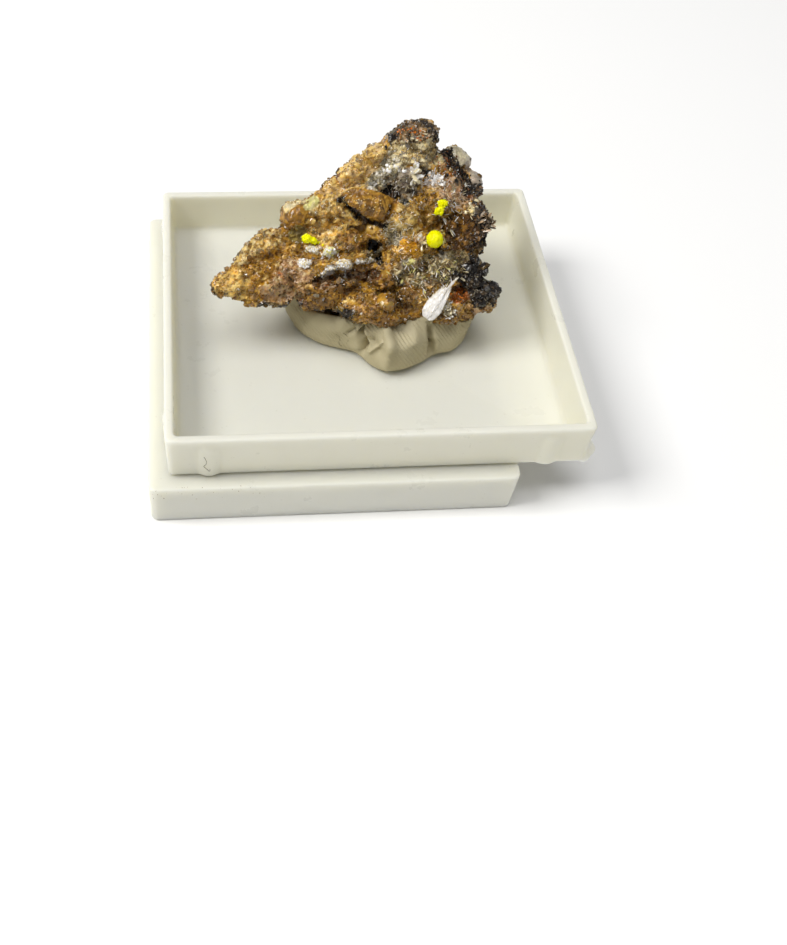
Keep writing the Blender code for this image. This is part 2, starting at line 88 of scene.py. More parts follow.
class Tint(Enum):
    """The colours that the specimen shows."""

    AMBER = (210, 160, 60)
    HONEY = (224, 162, 28)
    PALE_AMBER = (236, 202, 122)
    BROWN = (162, 116, 42)
    DARK_BROWN = (86, 56, 22)
    PINK_BROWN = (186, 144, 98)
    ROSE = (214, 182, 144)
    CREAM = (236, 218, 170)
    STRAW = (230, 222, 142)
    CLEAR = (220, 208, 172)
    WHITE = (254, 250, 246)
    GREY = (172, 162, 140)
    LILAC = (172, 156, 138)
    SMOKE = (104, 86, 60)
    CHARCOAL = (42, 36, 32)
    BLACK = (16, 12, 10)
    ORANGE = (232, 126, 40)
    RUST = (168, 100, 36)
    YELLOW = (255, 250, 4)
    OLIVE = (178, 156, 84)


LINEAR = {tint: np.array(linear(tint.value)) for tint in Tint}


class Habit(Enum):
    """How the crystals of a zone grow."""

    GRAIN = "grain"
    NUGGET = "nugget"
    BLADE = "blade"
    NEEDLE = "needle"
    BARE = "bare"


class Body(Enum):
    """What a crystal is made of, which gives its finish."""

    AMBER = "amber"
    CLEAR = "clear"
    DARK = "dark"
    WHITE = "white"


@dataclass(frozen=True)
class PhotoCamera:
    """The photograph's viewpoint, found from the trays' corners, relative to the tray's corner."""

    place: tuple[float, float, float] = (2.66, -57.52, 85.97)
    azimuth: float = 8.59
    elevation: float = 50.50
    roll: float = 5.01
    focal_pixels: float = 1110.4
    centre: Pixel = (300.0, 400.0)
    image: Pixel = (787.0, 945.0)
    sensor: float = 36.0
    rib_pixels: float = 3.4
    near_clip: float = 0.005

    def eye(self) -> Vector:
        """Returns the viewpoint in the row frame, in metres."""
        return TRAY_CORNER + Vector(self.place) * MM

    def axes(self) -> tuple[Vector, Vector, Vector]:
        """Finds how the camera is turned.

        Returns:
            The directions to the picture's right, up, and into the picture.
        """
        turn = math.radians(self.azimuth)
        rise = math.radians(self.elevation)
        tilt = math.radians(self.roll)
        level = Vector((math.cos(turn), -math.sin(turn), 0))
        above = Vector((math.sin(turn) * math.sin(rise), math.cos(turn) * math.sin(rise), math.cos(rise)))
        right = level * math.cos(tilt) + above * math.sin(tilt)
        up = above * math.cos(tilt) - level * math.sin(tilt)
        return right, up, up.cross(right).normalized()

    def ray(self, pixel: Pixel) -> Vector:
        """Returns the direction of sight through a pixel.

        Args:
            pixel: The place in the photograph, from its top left corner.

        Returns:
            A unit vector in the row frame.
        """
        right, up, ahead = self.axes()
        across = (pixel[0] - self.centre[0]) / self.focal_pixels
        down = (pixel[1] - self.centre[1]) / self.focal_pixels
        return (ahead + right * across - up * down).normalized()

    def pixels(self, points: np.ndarray) -> np.ndarray:
        """Projects points to the photograph.

        Args:
            points: Rows of x, y and z in metres.

        Returns:
            Rows of pixel coordinates.
        """
        right, up, ahead = (np.array(axis) for axis in self.axes())
        away = points - np.array(self.eye())
        depth = away @ ahead
        across = self.centre[0] + self.focal_pixels * (away @ right) / depth
        down = self.centre[1] - self.focal_pixels * (away @ up) / depth
        return np.stack([across, down], axis=1)

    def create(self) -> None:
        """Adds the camera to the scene and makes it the active one."""
        data = bpy.data.cameras.new("photo_camera")
        longest = max(self.image)
        data.sensor_width = self.sensor
        data.lens = self.focal_pixels / longest * self.sensor
        data.shift_x = (self.image[0] / 2 - self.centre[0]) / longest
        data.shift_y = (self.centre[1] - self.image[1] / 2) / longest
        data.clip_start = self.near_clip
        camera = bpy.data.objects.new("photo_camera", data)
        right, up, ahead = self.axes()
        turn = Matrix((right, up, -ahead)).transposed().to_4x4()
        camera.matrix_world = Matrix.Translation(self.eye()) @ turn
        bpy.context.scene.collection.objects.link(camera)
        bpy.context.scene.camera = camera


CAMERA = PhotoCamera()
FACE_DISTANCE = 0.105


@dataclass(frozen=True)
class Zone:
    """A patch of the specimen's face with its own colours, crystals and relief. In the sunk cracks and
    hollows and in the shadow zones, the colours are painted shade.

    The patch lies within reach pixels of the stroke from start to end. Its skin rises by lift
    millimetres, or sinks where lift is negative, and its ribs are that many millimetres deep.
    """

    name: str
    start: Pixel
    end: Pixel
    reach: float
    tints: tuple[Tint, ...]
    habit: Habit = Habit.GRAIN
    body: Body = Body.AMBER
    size: float = 0.4
    density: float = 1.0
    lift: float = 0.0
    ribs: float = 0.0


def spot(name: str, middle: Pixel, reach: float, tints: tuple[Tint, ...], *rest, **more) -> Zone:
    """Makes a zone round one pixel."""
    return Zone(name, middle, middle, reach, tints, *rest, **more)


AMBERS = (Tint.AMBER, Tint.PALE_AMBER, Tint.BROWN, Tint.HONEY)
BROWNS = (Tint.BROWN, Tint.AMBER, Tint.PINK_BROWN, Tint.DARK_BROWN)
PINKS = (Tint.PINK_BROWN, Tint.ROSE, Tint.BROWN, Tint.PALE_AMBER, Tint.CREAM)
CREAMS = (Tint.CREAM, Tint.PALE_AMBER, Tint.CLEAR)
GLASSES = (Tint.CLEAR, Tint.GREY, Tint.CREAM, Tint.WHITE)
DARKS = (Tint.CHARCOAL, Tint.BLACK, Tint.SMOKE, Tint.CHARCOAL)
SMOKES = (Tint.SMOKE, Tint.DARK_BROWN, Tint.CHARCOAL, Tint.PINK_BROWN)
# Painted shade: black and dark brown tints put in the sunk cracks and hollows, where shade falls.
PAINTED_HOLE_SHADE = (Tint.BLACK, Tint.BLACK, Tint.DARK_BROWN)
SNOWS = (Tint.WHITE, Tint.WHITE, Tint.CREAM)

ZONES: tuple[Zone, ...] = (
    spot("amber_tip", (224, 283), 25, (Tint.PALE_AMBER, *AMBERS), size=0.4),
    spot("middle_wing", (262, 266), 22, (Tint.BROWN, *AMBERS, Tint.BROWN), size=0.4),
    spot("pink_wing", (286, 286), 28, PINKS, size=0.36),
    spot("rust_fleck", (281, 276), 6, (Tint.RUST, Tint.ORANGE, Tint.PINK_BROWN), size=0.3),
    Zone(
        "clear_edge", (244, 254), (268, 237), 13, (Tint.PALE_AMBER, Tint.AMBER, Tint.CREAM),
        Habit.NUGGET, Body.CLEAR, 0.6, 0.8,
    ),
    spot(
        "bubble", (295, 216), 14, (Tint.BROWN, Tint.DARK_BROWN, Tint.AMBER),
        Habit.BARE, lift=0.1, ribs=0.01,
    ),
    Zone("bubble_rim", (288, 206), (300, 200), 5, CREAMS, Habit.NUGGET, Body.CLEAR, 0.4),
    spot("green_spot", (311, 203), 7, (Tint.STRAW, Tint.CREAM), Habit.BARE, lift=0.12),
    spot("ring_ground", (298, 234), 9, (Tint.OLIVE, Tint.GREY, Tint.SMOKE), Habit.BARE),
    spot("left_brown", (330, 224), 25, (Tint.PALE_AMBER, Tint.AMBER, Tint.HONEY, Tint.CREAM), size=0.4),
    Zone(
        "nodule", (352, 200), (384, 208), 16, (Tint.BROWN, Tint.DARK_BROWN, Tint.AMBER),
        Habit.BARE, lift=0.18, ribs=0.014,
    ),
    # The crack and foot round the nodule are sunk, and their tints are painted shade.
    Zone("nodule_crack", (341, 201), (365, 221), 4.5, PAINTED_HOLE_SHADE, Habit.BARE, lift=-0.45),
    Zone("nodule_foot", (365, 221), (386, 225), 4, PAINTED_HOLE_SHADE, Habit.BARE, lift=-0.4),
    Zone("upper_slope", (340, 184), (372, 158), 17, (Tint.PALE_AMBER, Tint.AMBER, Tint.ROSE), size=0.36),
    Zone("clear_ledge", (378, 182), (396, 160), 11, GLASSES, Habit.NUGGET, Body.CLEAR, 0.6, lift=0.12),
    spot("lilac_ground", (407, 184), 15, (Tint.LILAC, Tint.GREY, Tint.CLEAR), Habit.BLADE, Body.CLEAR, 0.6),
    # The deep crack and the high hollow are sunk, and their tints are painted shade.
    Zone("deep_crack", (386, 188), (404, 202), 6, PAINTED_HOLE_SHADE, Habit.BARE, lift=-0.4),
    spot("high_hollow", (424, 171), 6, PAINTED_HOLE_SHADE, Habit.BARE, lift=-0.3),
    spot("white_tuft", (434, 181), 7, (Tint.ROSE, *SNOWS), Habit.GRAIN, Body.WHITE, 0.3),
    spot("needle_field", (455, 192), 16, (Tint.ROSE, Tint.BROWN, Tint.SMOKE, Tint.RUST), size=0.32),
    Zone("cream_crest", (402, 154), (434, 152), 13, CREAMS, Habit.NUGGET, Body.CLEAR, 0.55),
    Zone(
        "top_knob", (402, 130), (424, 132), 14, (Tint.SMOKE, Tint.DARK_BROWN, Tint.ROSE, Tint.BROWN),
        size=0.32,
    ),
    Zone("knob_rim", (418, 118), (438, 138), 6, DARKS, Habit.GRAIN, Body.DARK, 0.36),
    Zone("knob_side", (392, 140), (402, 122), 5, DARKS, Habit.GRAIN, Body.DARK, 0.34),
    Zone(
        "high_lump", (457, 146), (466, 156), 11, (Tint.CLEAR, Tint.GREY, Tint.LILAC),
        Habit.BARE, lift=0.15,
    ),
    Zone("low_lump", (474, 166), (480, 180), 9, (Tint.LILAC, Tint.GREY, Tint.LILAC), Habit.BARE, lift=0.15),
    Zone(
        "dark_rim", (440, 146), (472, 194), 6, (Tint.CHARCOAL, Tint.BLACK, Tint.SMOKE, Tint.RUST),
        Habit.GRAIN, Body.DARK, 0.32,
    ),
    Zone(
        "dark_edge", (480, 190), (488, 238), 11, (Tint.CHARCOAL, Tint.BLACK, *SMOKES),
        Habit.GRAIN, Body.DARK, 0.4,
    ),
    spot("cream_piece", (473, 210), 6, CREAMS, Habit.NUGGET, Body.WHITE, 0.45),
    Zone(
        "honey_patch", (404, 240), (416, 253), 6.5, (Tint.HONEY, Tint.BROWN, Tint.AMBER),
        Habit.GRAIN, size=0.3,
    ),
    spot("straw_patch", (414, 263), 6, (Tint.STRAW, Tint.CREAM, Tint.OLIVE), Habit.BARE, lift=0.15),
    spot("right_brown", (462, 232), 22, (Tint.DARK_BROWN, Tint.DARK_BROWN, Tint.BROWN), size=0.38),
    spot("ball_ground", (432, 222), 14, (Tint.BROWN, Tint.AMBER, Tint.PALE_AMBER), size=0.36),
    Zone(
        "blade_field", (404, 276), (456, 262), 15, (Tint.GREY, Tint.PALE_AMBER, Tint.OLIVE, Tint.BROWN),
        Habit.BLADE, Body.CLEAR, 0.8,
    ),
    spot(
        "blade_shadow", (433, 260), 5, (Tint.SMOKE, Tint.DARK_BROWN, Tint.OLIVE),
        Habit.BLADE, Body.CLEAR, 0.6,
    ),
    Zone("charcoal_corner", (473, 270), (486, 296), 17, DARKS, Habit.NUGGET, Body.DARK, 0.6),
    Zone("brown_hem", (480, 313), (497, 304), 7, PINKS, Habit.NUGGET, Body.AMBER, 0.5),
    spot("rust_corner", (460, 296), 9, (Tint.RUST, Tint.ORANGE, Tint.DARK_BROWN), size=0.36),
    spot("lower_middle", (398, 288), 20, (*BROWNS, Tint.SMOKE), Habit.GRAIN, Body.AMBER, 0.46),
    Zone(
        "amber_tongue", (352, 304), (376, 317), 6, (Tint.AMBER, Tint.ROSE, Tint.BROWN),
        Habit.BARE, lift=0.2,
    ),
    Zone(
        "amber_shelf", (352, 306), (392, 323), 9, (Tint.BROWN, Tint.AMBER, Tint.PINK_BROWN),
        Habit.NUGGET, size=0.5, lift=0.25,
    ),
    Zone(
        "amber_lump", (380, 297), (389, 307), 6, (Tint.BROWN, Tint.AMBER, Tint.OLIVE),
        Habit.BARE, lift=0.12,
    ),
    spot("left_lump", (348, 300), 7, (Tint.PALE_AMBER, Tint.CREAM, Tint.AMBER), Habit.BARE, lift=0.15),
    spot("round_lump", (372, 229), 7, (Tint.AMBER, Tint.PALE_AMBER), Habit.BARE, lift=0.12),
    Zone(
        "lower_hem", (402, 321), (452, 320), 7, (Tint.BROWN, Tint.AMBER, Tint.SMOKE, Tint.CLEAR),
        Habit.NUGGET, size=0.5, lift=0.3,
    ),
    Zone("snow_ledge", (323, 273), (334, 268), 2.8, SNOWS, Habit.GRAIN, Body.WHITE, 0.26, lift=0.12),
    Zone("snow_crest", (342, 265), (349, 266), 4.8, SNOWS, Habit.GRAIN, Body.WHITE, 0.26, lift=0.22),
    Zone("snow_end", (357, 262), (372, 260), 2.4, SNOWS, Habit.GRAIN, Body.WHITE, 0.26, lift=0.15),
    spot("snow_lump", (305, 264), 5.5, SNOWS, Habit.GRAIN, Body.WHITE, 0.3, lift=0.2),
    Zone(
        "pale_crumbs", (309, 248), (316, 250), 3.6, (Tint.WHITE, Tint.CREAM, Tint.STRAW),
        Habit.GRAIN, Body.WHITE, 0.26, lift=0.12,
    ),
    Zone(
        "straw_crumbs", (327, 253), (334, 250), 4.6, (Tint.WHITE, Tint.STRAW, Tint.CREAM),
        Habit.GRAIN, Body.WHITE, 0.28, lift=0.15,
    ),
    Zone(
        "ledge_shadow", (318, 283), (374, 275), 7, (Tint.DARK_BROWN, Tint.RUST, Tint.ROSE),
        size=0.3, lift=-0.2,
    ),
    Zone(
        "lower_left", (310, 298), (348, 292), 14, (Tint.BROWN, *BROWNS, Tint.SMOKE),
        Habit.GRAIN, Body.AMBER, 0.38,
    ),
    Zone("blue_black_edge", (262, 309), (300, 303), 4.5, DARKS, Habit.GRAIN, Body.DARK, 0.26),
    Zone("dark_foot", (312, 314), (352, 313), 5, DARKS, Habit.GRAIN, Body.DARK, 0.26),
    spot("centre_brown", (402, 222), 19, (Tint.PALE_AMBER, Tint.AMBER, Tint.CREAM, Tint.OLIVE), size=0.4),
    spot("grey_blades", (396, 236), 12, (Tint.GREY, Tint.CLEAR, Tint.OLIVE), Habit.BLADE, Body.CLEAR, 0.6),
    spot("middle_left", (345, 242), 18, (Tint.BROWN, Tint.AMBER, Tint.OLIVE, Tint.PINK_BROWN), size=0.4),
    # The hollow and the hole at the right edge are sunk, and their black tint is painted shade.
    Zone("shade_painted_hollow", (373, 247), (375, 256), 7.5, (Tint.BLACK,), Habit.BARE, lift=-0.8),
    spot("edge_hole", (486, 222), 5, (Tint.BLACK,), Habit.BARE, lift=-0.3),
)
GROUND = spot("ground", (0, 0), 0, (Tint.AMBER, Tint.BROWN, Tint.ROSE, Tint.PALE_AMBER, Tint.DARK_BROWN))
BACKS = (
    spot(
        "back", (0, 0), 0, (Tint.AMBER, Tint.BROWN, Tint.PALE_AMBER, Tint.ROSE, Tint.SMOKE),
        size=0.44, density=0.8,
    ),
    spot(
        "pale_back", (0, 0), 0, (*CREAMS, Tint.AMBER, Tint.GREY),
        Habit.NUGGET, Body.CLEAR, 0.6, 0.7, lift=0.2,
    ),
    spot(
        "smoky_back", (0, 0), 0, (*SMOKES, Tint.BROWN, Tint.RUST),
        Habit.NUGGET, Body.AMBER, 0.5, lift=-0.15,
    ),
)


class ZoneMap:
    """Finds the zone of a place on the rock: by the photograph's pixels, or by patches at the back."""

    least_facing = -0.15
    back_patch = 3.4
    pale_mood = 0.22
    smoky_mood = -0.24

    def __init__(self, zones: tuple[Zone, ...]) -> None:
        """Keeps the zones and their strokes as arrays."""
        self.zones = (*zones, GROUND, *BACKS)
        self.starts = np.array([zone.start for zone in zones], float)
        self.ends = np.array([zone.end for zone in zones], float)
        self.reaches = np.array([zone.reach for zone in zones], float)

    def choose(
        self, points: np.ndarray, normals: np.ndarray, wobble: np.ndarray
    ) -> tuple[np.ndarray, np.ndarray]:
        """Picks a zone for each point.

        Args:
            points: Rows of x, y and z in metres.
            normals: The surface's direction at each point.
            wobble: A shift of the pixels at each point, which frays the zones' borders.

        Returns:
            The index of each point's zone in self.zones, and how deep in its zone the point is.
        """
        pixels = CAMERA.pixels(points) + wobble
        stroke = self.ends - self.starts
        length = np.maximum((stroke**2).sum(axis=1), 1e-9)
        away = pixels[:, None, :] - self.starts[None]
        share = np.clip((away * stroke[None]).sum(axis=2) / length[None], 0, 1)
        nearest = self.starts[None] + share[..., None] * stroke[None]
        distance = np.linalg.norm(pixels[:, None, :] - nearest, axis=2)
        score = 1 - distance / self.reaches[None]
        best = score.argmax(axis=1)
        inside = score.max(axis=1) > 0
        sight = np.array(CAMERA.eye()) - points
        sight /= np.linalg.norm(sight, axis=1)[:, None]
        facing = (sight * normals).sum(axis=1) > self.least_facing
        ground = len(self.starts)
        chosen = np.where(facing, np.where(inside, best, ground), ground + 1)
        for index in np.flatnonzero(~facing):
            mood = noise.noise(Vector(points[index]) / MM / self.back_patch)
            chosen[index] += 1 if mood > self.pale_mood else 2 if mood < self.smoky_mood else 0
        return chosen, np.clip(score.max(axis=1), 0, 1) * facing


def smooth_step(share: float) -> float:
    """Eases a share from 0 to 1."""
    share = min(1.0, max(0.0, share))
    return share * share * (3 - 2 * share)


@dataclass(frozen=True)
class CellTints:
    """Colours a surface in small cells, each with one tint of its zone."""

    cell: float
    seed: int
    fray_pixels: float = 5.0
    fray_scale: float = 0.9
    warp: float = 0.5
    hash_scale: float = 7.31
    hash_shift: tuple[float, float] = (3.7, 1.9)
    first_share: float = 0.45
    darkest: float = 0.72
    shades: float = 0.38

    def colours(self, zone_map: ZoneMap, points: np.ndarray, normals: np.ndarray) -> np.ndarray:
        """Colours points.

        Args:
            zone_map: The zones.
            points: Rows of x, y and z in metres.
            normals: The surface's direction at each point.

        Returns:
            Rows of linear red, green, blue and alpha.
        """
        count = len(points)
        wobble = np.empty((count, 2))
        pick = np.empty((count, 2))
        for index, point in enumerate(points):
            here = Vector(point) / MM
            drift = noise.noise_vector(here * self.fray_scale + Vector((self.seed, 0, 0)))
            wobble[index] = drift.x * self.fray_pixels, drift.y * self.fray_pixels
            near = noise.voronoi(here / self.cell + drift * self.warp)[1][0]
            dice = noise.cell_vector(near * self.hash_scale + Vector((self.seed, *self.hash_shift)))
            pick[index] = dice.x, dice.y
        zones, _ = zone_map.choose(points, normals, wobble)
        colours = np.ones((count, 4))
        for index, which in enumerate(zones):
            choices = zone_map.zones[which].tints
            tint = choices[min(int(pick[index, 0] * len(choices)), len(choices) - 1)]
            blend = LINEAR[choices[0]] * self.first_share + LINEAR[tint] * (1 - self.first_share)
            colours[index, :3] = blend * (self.darkest + self.shades * pick[index, 1])
        return np.clip(colours, 0, 1)


def gauss_vector(dice: random.Random) -> Vector:
    """Draws a vector whose every part is normally spread round 0."""
    return Vector((dice.gauss(0, 1), dice.gauss(0, 1), dice.gauss(0, 1)))


def any_turn(dice: random.Random) -> float:
    """Draws an angle of up to a full turn."""
    return dice.uniform(0, math.tau)


def link_mesh(name: str, mesh: bpy.types.ID) -> bpy.types.Object:
    """Puts mesh or curve data in the scene as an object.

    Args:
        name: The object's name.
        mesh: Its data.

    Returns:
        The new object.
    """
    item = bpy.data.objects.new(name, mesh)
    bpy.context.scene.collection.objects.link(item)
    return item


def paint(mesh: bpy.types.Mesh, colours: np.ndarray) -> None:
    """Stores a colour for each vertex, which the mineral finishes read as the tint."""
    layer = mesh.color_attributes.new("tint", "FLOAT_COLOR", "POINT")
    layer.data.foreach_set("color", colours.astype(np.float32).ravel())


def move_points(mesh: bpy.types.Mesh, places: np.ndarray) -> None:
    """Moves the vertices to new places in metres."""
    mesh.vertices.foreach_set("co", places.astype(np.float32).ravel())
    mesh.update()


def mesh_object(
    name: str, verts: np.ndarray, faces: np.ndarray, colours: np.ndarray | None = None
) -> bpy.types.Object:
    """Makes an object from arrays.

    Args:
        name: The object's name.
        verts: Rows of x, y and z in metres.
        faces: Rows of three or four vertex indices.
        colours: Rows of red, green, blue and alpha for the vertices, if the piece has tints.

    Returns:
        The new object, linked to the scene.
    """
    mesh = bpy.data.meshes.new(name)
    corners = faces.shape[1]
    mesh.vertices.add(len(verts))
    mesh.vertices.foreach_set("co", verts.astype(np.float32).ravel())
    mesh.loops.add(faces.size)
    mesh.loops.foreach_set("vertex_index", faces.astype(np.int32).ravel())
    mesh.polygons.add(len(faces))
    mesh.polygons.foreach_set("loop_start", np.arange(0, faces.size, corners, dtype=np.int32))
    mesh.update(calc_edges=True)
    if colours is not None:
        paint(mesh, colours)
    mesh.validate()
    return link_mesh(name, mesh)


def points_of(mesh: bpy.types.Mesh) -> tuple[np.ndarray, np.ndarray]:
    """Reads a mesh's vertices.

    Args:
        mesh: The mesh.

    Returns:
        Rows of their places in metres, and rows of their normals.
    """
    count = len(mesh.vertices)
    places = np.empty(count * 3, np.float32)
    mesh.vertices.foreach_get("co", places)
    normals = np.empty(count * 3, np.float32)
    mesh.vertices.foreach_get("normal", normals)
    return places.reshape(-1, 3).astype(float), normals.reshape(-1, 3).astype(float)


MERGE_DISTANCE = 0.001


def evaluated_mesh(item: bpy.types.Object) -> bpy.types.Mesh:
    """Takes the mesh that an object has after its modifiers or its curve's bevel.

    Args:
        item: The object.

    Returns:
        A new mesh.
    """
    bpy.context.view_layer.update()
    depsgraph = bpy.context.evaluated_depsgraph_get()
    return bpy.data.meshes.new_from_object(item.evaluated_get(depsgraph))


def fine_skin(name: str, node: str, voxel: float, rounds: int) -> bpy.types.Object:
    """Copies a solid and gives it a fine even mesh.

    Args:
        name: The new object's name.
        node: The solid's node in the frame.
        voxel: The spacing of the new mesh in millimetres.
        rounds: How often the mesh is smoothed.

    Returns:
        The new object.
    """
    work = bmesh.new()
    work.from_mesh(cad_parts[node].data)
    bmesh.ops.remove_doubles(work, verts=work.verts, dist=MERGE_DISTANCE * MM)
    mesh = bpy.data.meshes.new(name)
    work.to_mesh(mesh)
    work.free()
    item = link_mesh(name, mesh)
    remesh = item.modifiers.new("fine", "REMESH")
    remesh.mode = "VOXEL"
    remesh.voxel_size = voxel * MM
    smooth = item.modifiers.new("smooth", "SMOOTH")
    smooth.factor = 0.5
    smooth.iterations = rounds
    item.data = evaluated_mesh(item)
    item.modifiers.clear()
    item.data.materials.clear()
    return item


def caster(item: bpy.types.Object) -> BVHTree:
    """Builds a tree for casting rays onto an object."""
    mesh = item.data
    return BVHTree.FromPolygons([v.co for v in mesh.vertices], [p.vertices for p in mesh.polygons])


def spot_on(tree: BVHTree, pixel: Pixel) -> tuple[Vector, Vector]:
    """Finds what a pixel of the photograph shows, or what is nearest to its line of sight.

    Args:
        tree: The surface to look at.
        pixel: The place in the photograph.

    Returns:
        The point of the surface and its normal there.
    """
    eye = CAMERA.eye()
    place, normal, _, _ = tree.ray_cast(eye, CAMERA.ray(pixel))
    if place is None:
        place, normal, _, _ = tree.find_nearest(eye + CAMERA.ray(pixel) * FACE_DISTANCE)
    return place, normal


@dataclass
class CrystalBatch:
    """Many copies of a few crystal shapes, gathered in one mesh."""

    verts: list = field(default_factory=list)
    faces: list = field(default_factory=list)
    colours: list = field(default_factory=list)
    total: int = 0

    def add(
        self, shape: tuple[np.ndarray, np.ndarray], turn: np.ndarray, place: np.ndarray, colour: np.ndarray
    ) -> None:
        """Adds one crystal.

        Args:
            shape: The vertices and triangles of a crystal of size one.
            turn: Three rows that scale and turn it.
            place: Where its foot is, in metres.
            colour: Its linear red, green and blue.
        """
        verts, faces = shape
        self.verts.append(verts @ turn + place)
        self.faces.append(faces + self.total)
        self.colours.append(np.tile((*np.clip(colour, 0, 1), 1.0), (len(verts), 1)))
        self.total += len(verts)

    def build(self, name: str) -> bpy.types.Object:
        """Makes the object that holds all crystals added so far."""
        return mesh_object(name, np.vstack(self.verts), np.vstack(self.faces), np.vstack(self.colours))


def hull_shape(points: list[Vector]) -> tuple[np.ndarray, np.ndarray]:
    """Wraps points in their convex hull.

    Args:
        points: The points.

    Returns:
        The hull's vertices and triangles.
    """
    work = bmesh.new()
    for point in points:
        work.verts.new(point)
    result = bmesh.ops.convex_hull(work, input=work.verts)
    loose = [item for item in result["geom_interior"] if isinstance(item, bmesh.types.BMVert)]
    bmesh.ops.delete(work, geom=list(set(loose)), context="VERTS")
    bmesh.ops.recalc_face_normals(work, faces=work.faces)
    bmesh.ops.triangulate(work, faces=work.faces)
    work.verts.index_update()
    verts = np.array([vert.co[:] for vert in work.verts])
    faces = np.array([[vert.index for vert in face.verts] for face in work.faces])
    work.free()
    return verts, faces


@dataclass(frozen=True)
class CrystalForm:
    """The proportions of a crystal of length one: a block with a low point, or a slanted blade."""

    block: bool
    sides: int
    width: float
    thickness: float = 1.0
    top: float = 1.0
    unevenness: float = 0.16
    foot: float = -0.3
    shoulder: float = 0.34
    taper: float = 0.95

    def block_points(self, dice: random.Random) -> list[Vector]:
        """Places the corners of a block.

        Args:
            dice: The source of chance.

        Returns:
            The corners.
        """
        points = []
        flat = dice.uniform(0.6, 1.0)
        skew = dice.uniform(-0.12, 0.12)
        for side in range(self.sides):
            angle = math.tau * (side + dice.uniform(-self.unevenness, self.unevenness)) / self.sides
            across = math.cos(angle) * self.width
            deep = math.sin(angle) * self.width * flat
            points.append(Vector((across, deep, self.foot)))
            shoulder = self.shoulder + skew * math.cos(angle)
            points.append(Vector((across * self.taper, deep * self.taper, shoulder)))
        points.append(Vector((dice.uniform(-0.1, 0.1), dice.uniform(-0.1, 0.1), self.top)))
        points.append(Vector((dice.uniform(-0.16, 0.16), 0, self.top * 0.96)))
        return points

    def blade_points(self, dice: random.Random) -> list[Vector]:
        """Places the corners of a blade.

        Args:
            dice: The source of chance.

        Returns:
            The corners.
        """
        points = []
        slant = dice.uniform(-0.5, 0.5)
        for side in range(self.sides):
            angle = math.tau * (side + 0.5) / self.sides
            across = math.cos(angle) * self.width
            deep = math.sin(angle) * self.width * self.thickness
            points.append(Vector((across, deep, self.foot)))
            points.append(Vector((across * self.taper, deep * self.taper, self.shoulder + slant * across)))
            points.append(Vector((across * 0.3 + slant * 0.05, deep * 0.3, self.top)))
        return points


FORMS = {
    Habit.GRAIN: CrystalForm(True, 6, 0.4, top=0.72),
    Habit.NUGGET: CrystalForm(True, 5, 0.4, top=0.55),
    Habit.BARE: CrystalForm(True, 5, 0.4, top=0.55),
    Habit.BLADE: CrystalForm(False, 6, 0.22, 0.4, foot=-0.15, shoulder=0.82, taper=0.9),
    Habit.NEEDLE: CrystalForm(False, 4, 0.06, 0.8, foot=-0.15, shoulder=0.82, taper=0.9),
}


def crystal_shapes(
    habit: Habit, dice: random.Random, count: int = 7
) -> list[tuple[np.ndarray, np.ndarray]]:
    """Makes a few variants of a crystal of size one, with its foot at the origin and its tip at +Z.

    Args:
        habit: The kind of crystal.
        dice: The source of chance.
        count: How many variants to make.

    Returns:
        A list of vertices and triangles.
    """
    form = FORMS[habit]
    corners = form.block_points if form.block else form.blade_points
    return [hull_shape(corners(dice)) for _ in range(count)]


def frame_along(direction: Vector, size: float, spin: float) -> np.ndarray:
    """Turns and scales a crystal so that its tip points along a direction.

    Args:
        direction: Where the tip points.
        size: The crystal's length in metres.
        spin: Its turn about its own axis.

    Returns:
        Three rows by which a crystal's vertices are multiplied.
    """
    up = direction.normalized()
    side = up.orthogonal().normalized()
    other = up.cross(side)
    across = side * math.cos(spin) + other * math.sin(spin)
    return np.array([across[:], up.cross(across)[:], up[:]]) * size


class NodeKit:
    """Short calls for building a node tree."""

    def __init__(self, tree: bpy.types.NodeTree) -> None:
        """Keeps the tree that nodes are added to."""
        self.tree = tree

    def add(self, kind: str, links: dict | None = None, **values) -> bpy.types.Node:
        """Adds a node.

        Args:
            kind: The node's type.
            links: What feeds its inputs, by the inputs' names or numbers: a socket, or a plain value.
            values: The node's own properties.

        Returns:
            The new node.
        """
        node = self.tree.nodes.new(kind)
        for name, value in values.items():
            setattr(node, name, value)
        for name, source in (links or {}).items():
            socket = node.inputs[name]
            if isinstance(source, bpy.types.NodeSocket):
                self.tree.links.new(source, socket)
            else:
                socket.default_value = source
        return node

    def join(self, source: bpy.types.NodeSocket, target: bpy.types.NodeSocket) -> None:
        """Links an output to an input."""
        self.tree.links.new(source, target)

    def span(self, value, low: float, high: float, to_low: float = 0.0, to_high: float = 1.0):
        """Maps a value's range smoothly onto another and returns it."""
        links = {0: value, 1: low, 2: high, 3: to_low, 4: to_high}
        return self.add("ShaderNodeMapRange", links, interpolation_type="SMOOTHSTEP").outputs[0]

    def math(self, operation: str, first, second=0.0):
        """Adds a math node and returns its value."""
        return self.add("ShaderNodeMath", {0: first, 1: second}, operation=operation).outputs[0]

    def mix(self, share, first, second, blend: str = "MIX"):
        """Mixes two colours and returns the result."""
        links = {0: share, 6: first, 7: second}
        return self.add("ShaderNodeMix", links, data_type="RGBA", blend_type=blend).outputs[2]


COLOUR_SOCKET = "NodeSocketColor"
VALUE_SOCKET = "NodeSocketFloat"
OUTPUTS = {"Colour": COLOUR_SOCKET, "Roughness": VALUE_SOCKET, "Height": VALUE_SOCKET}


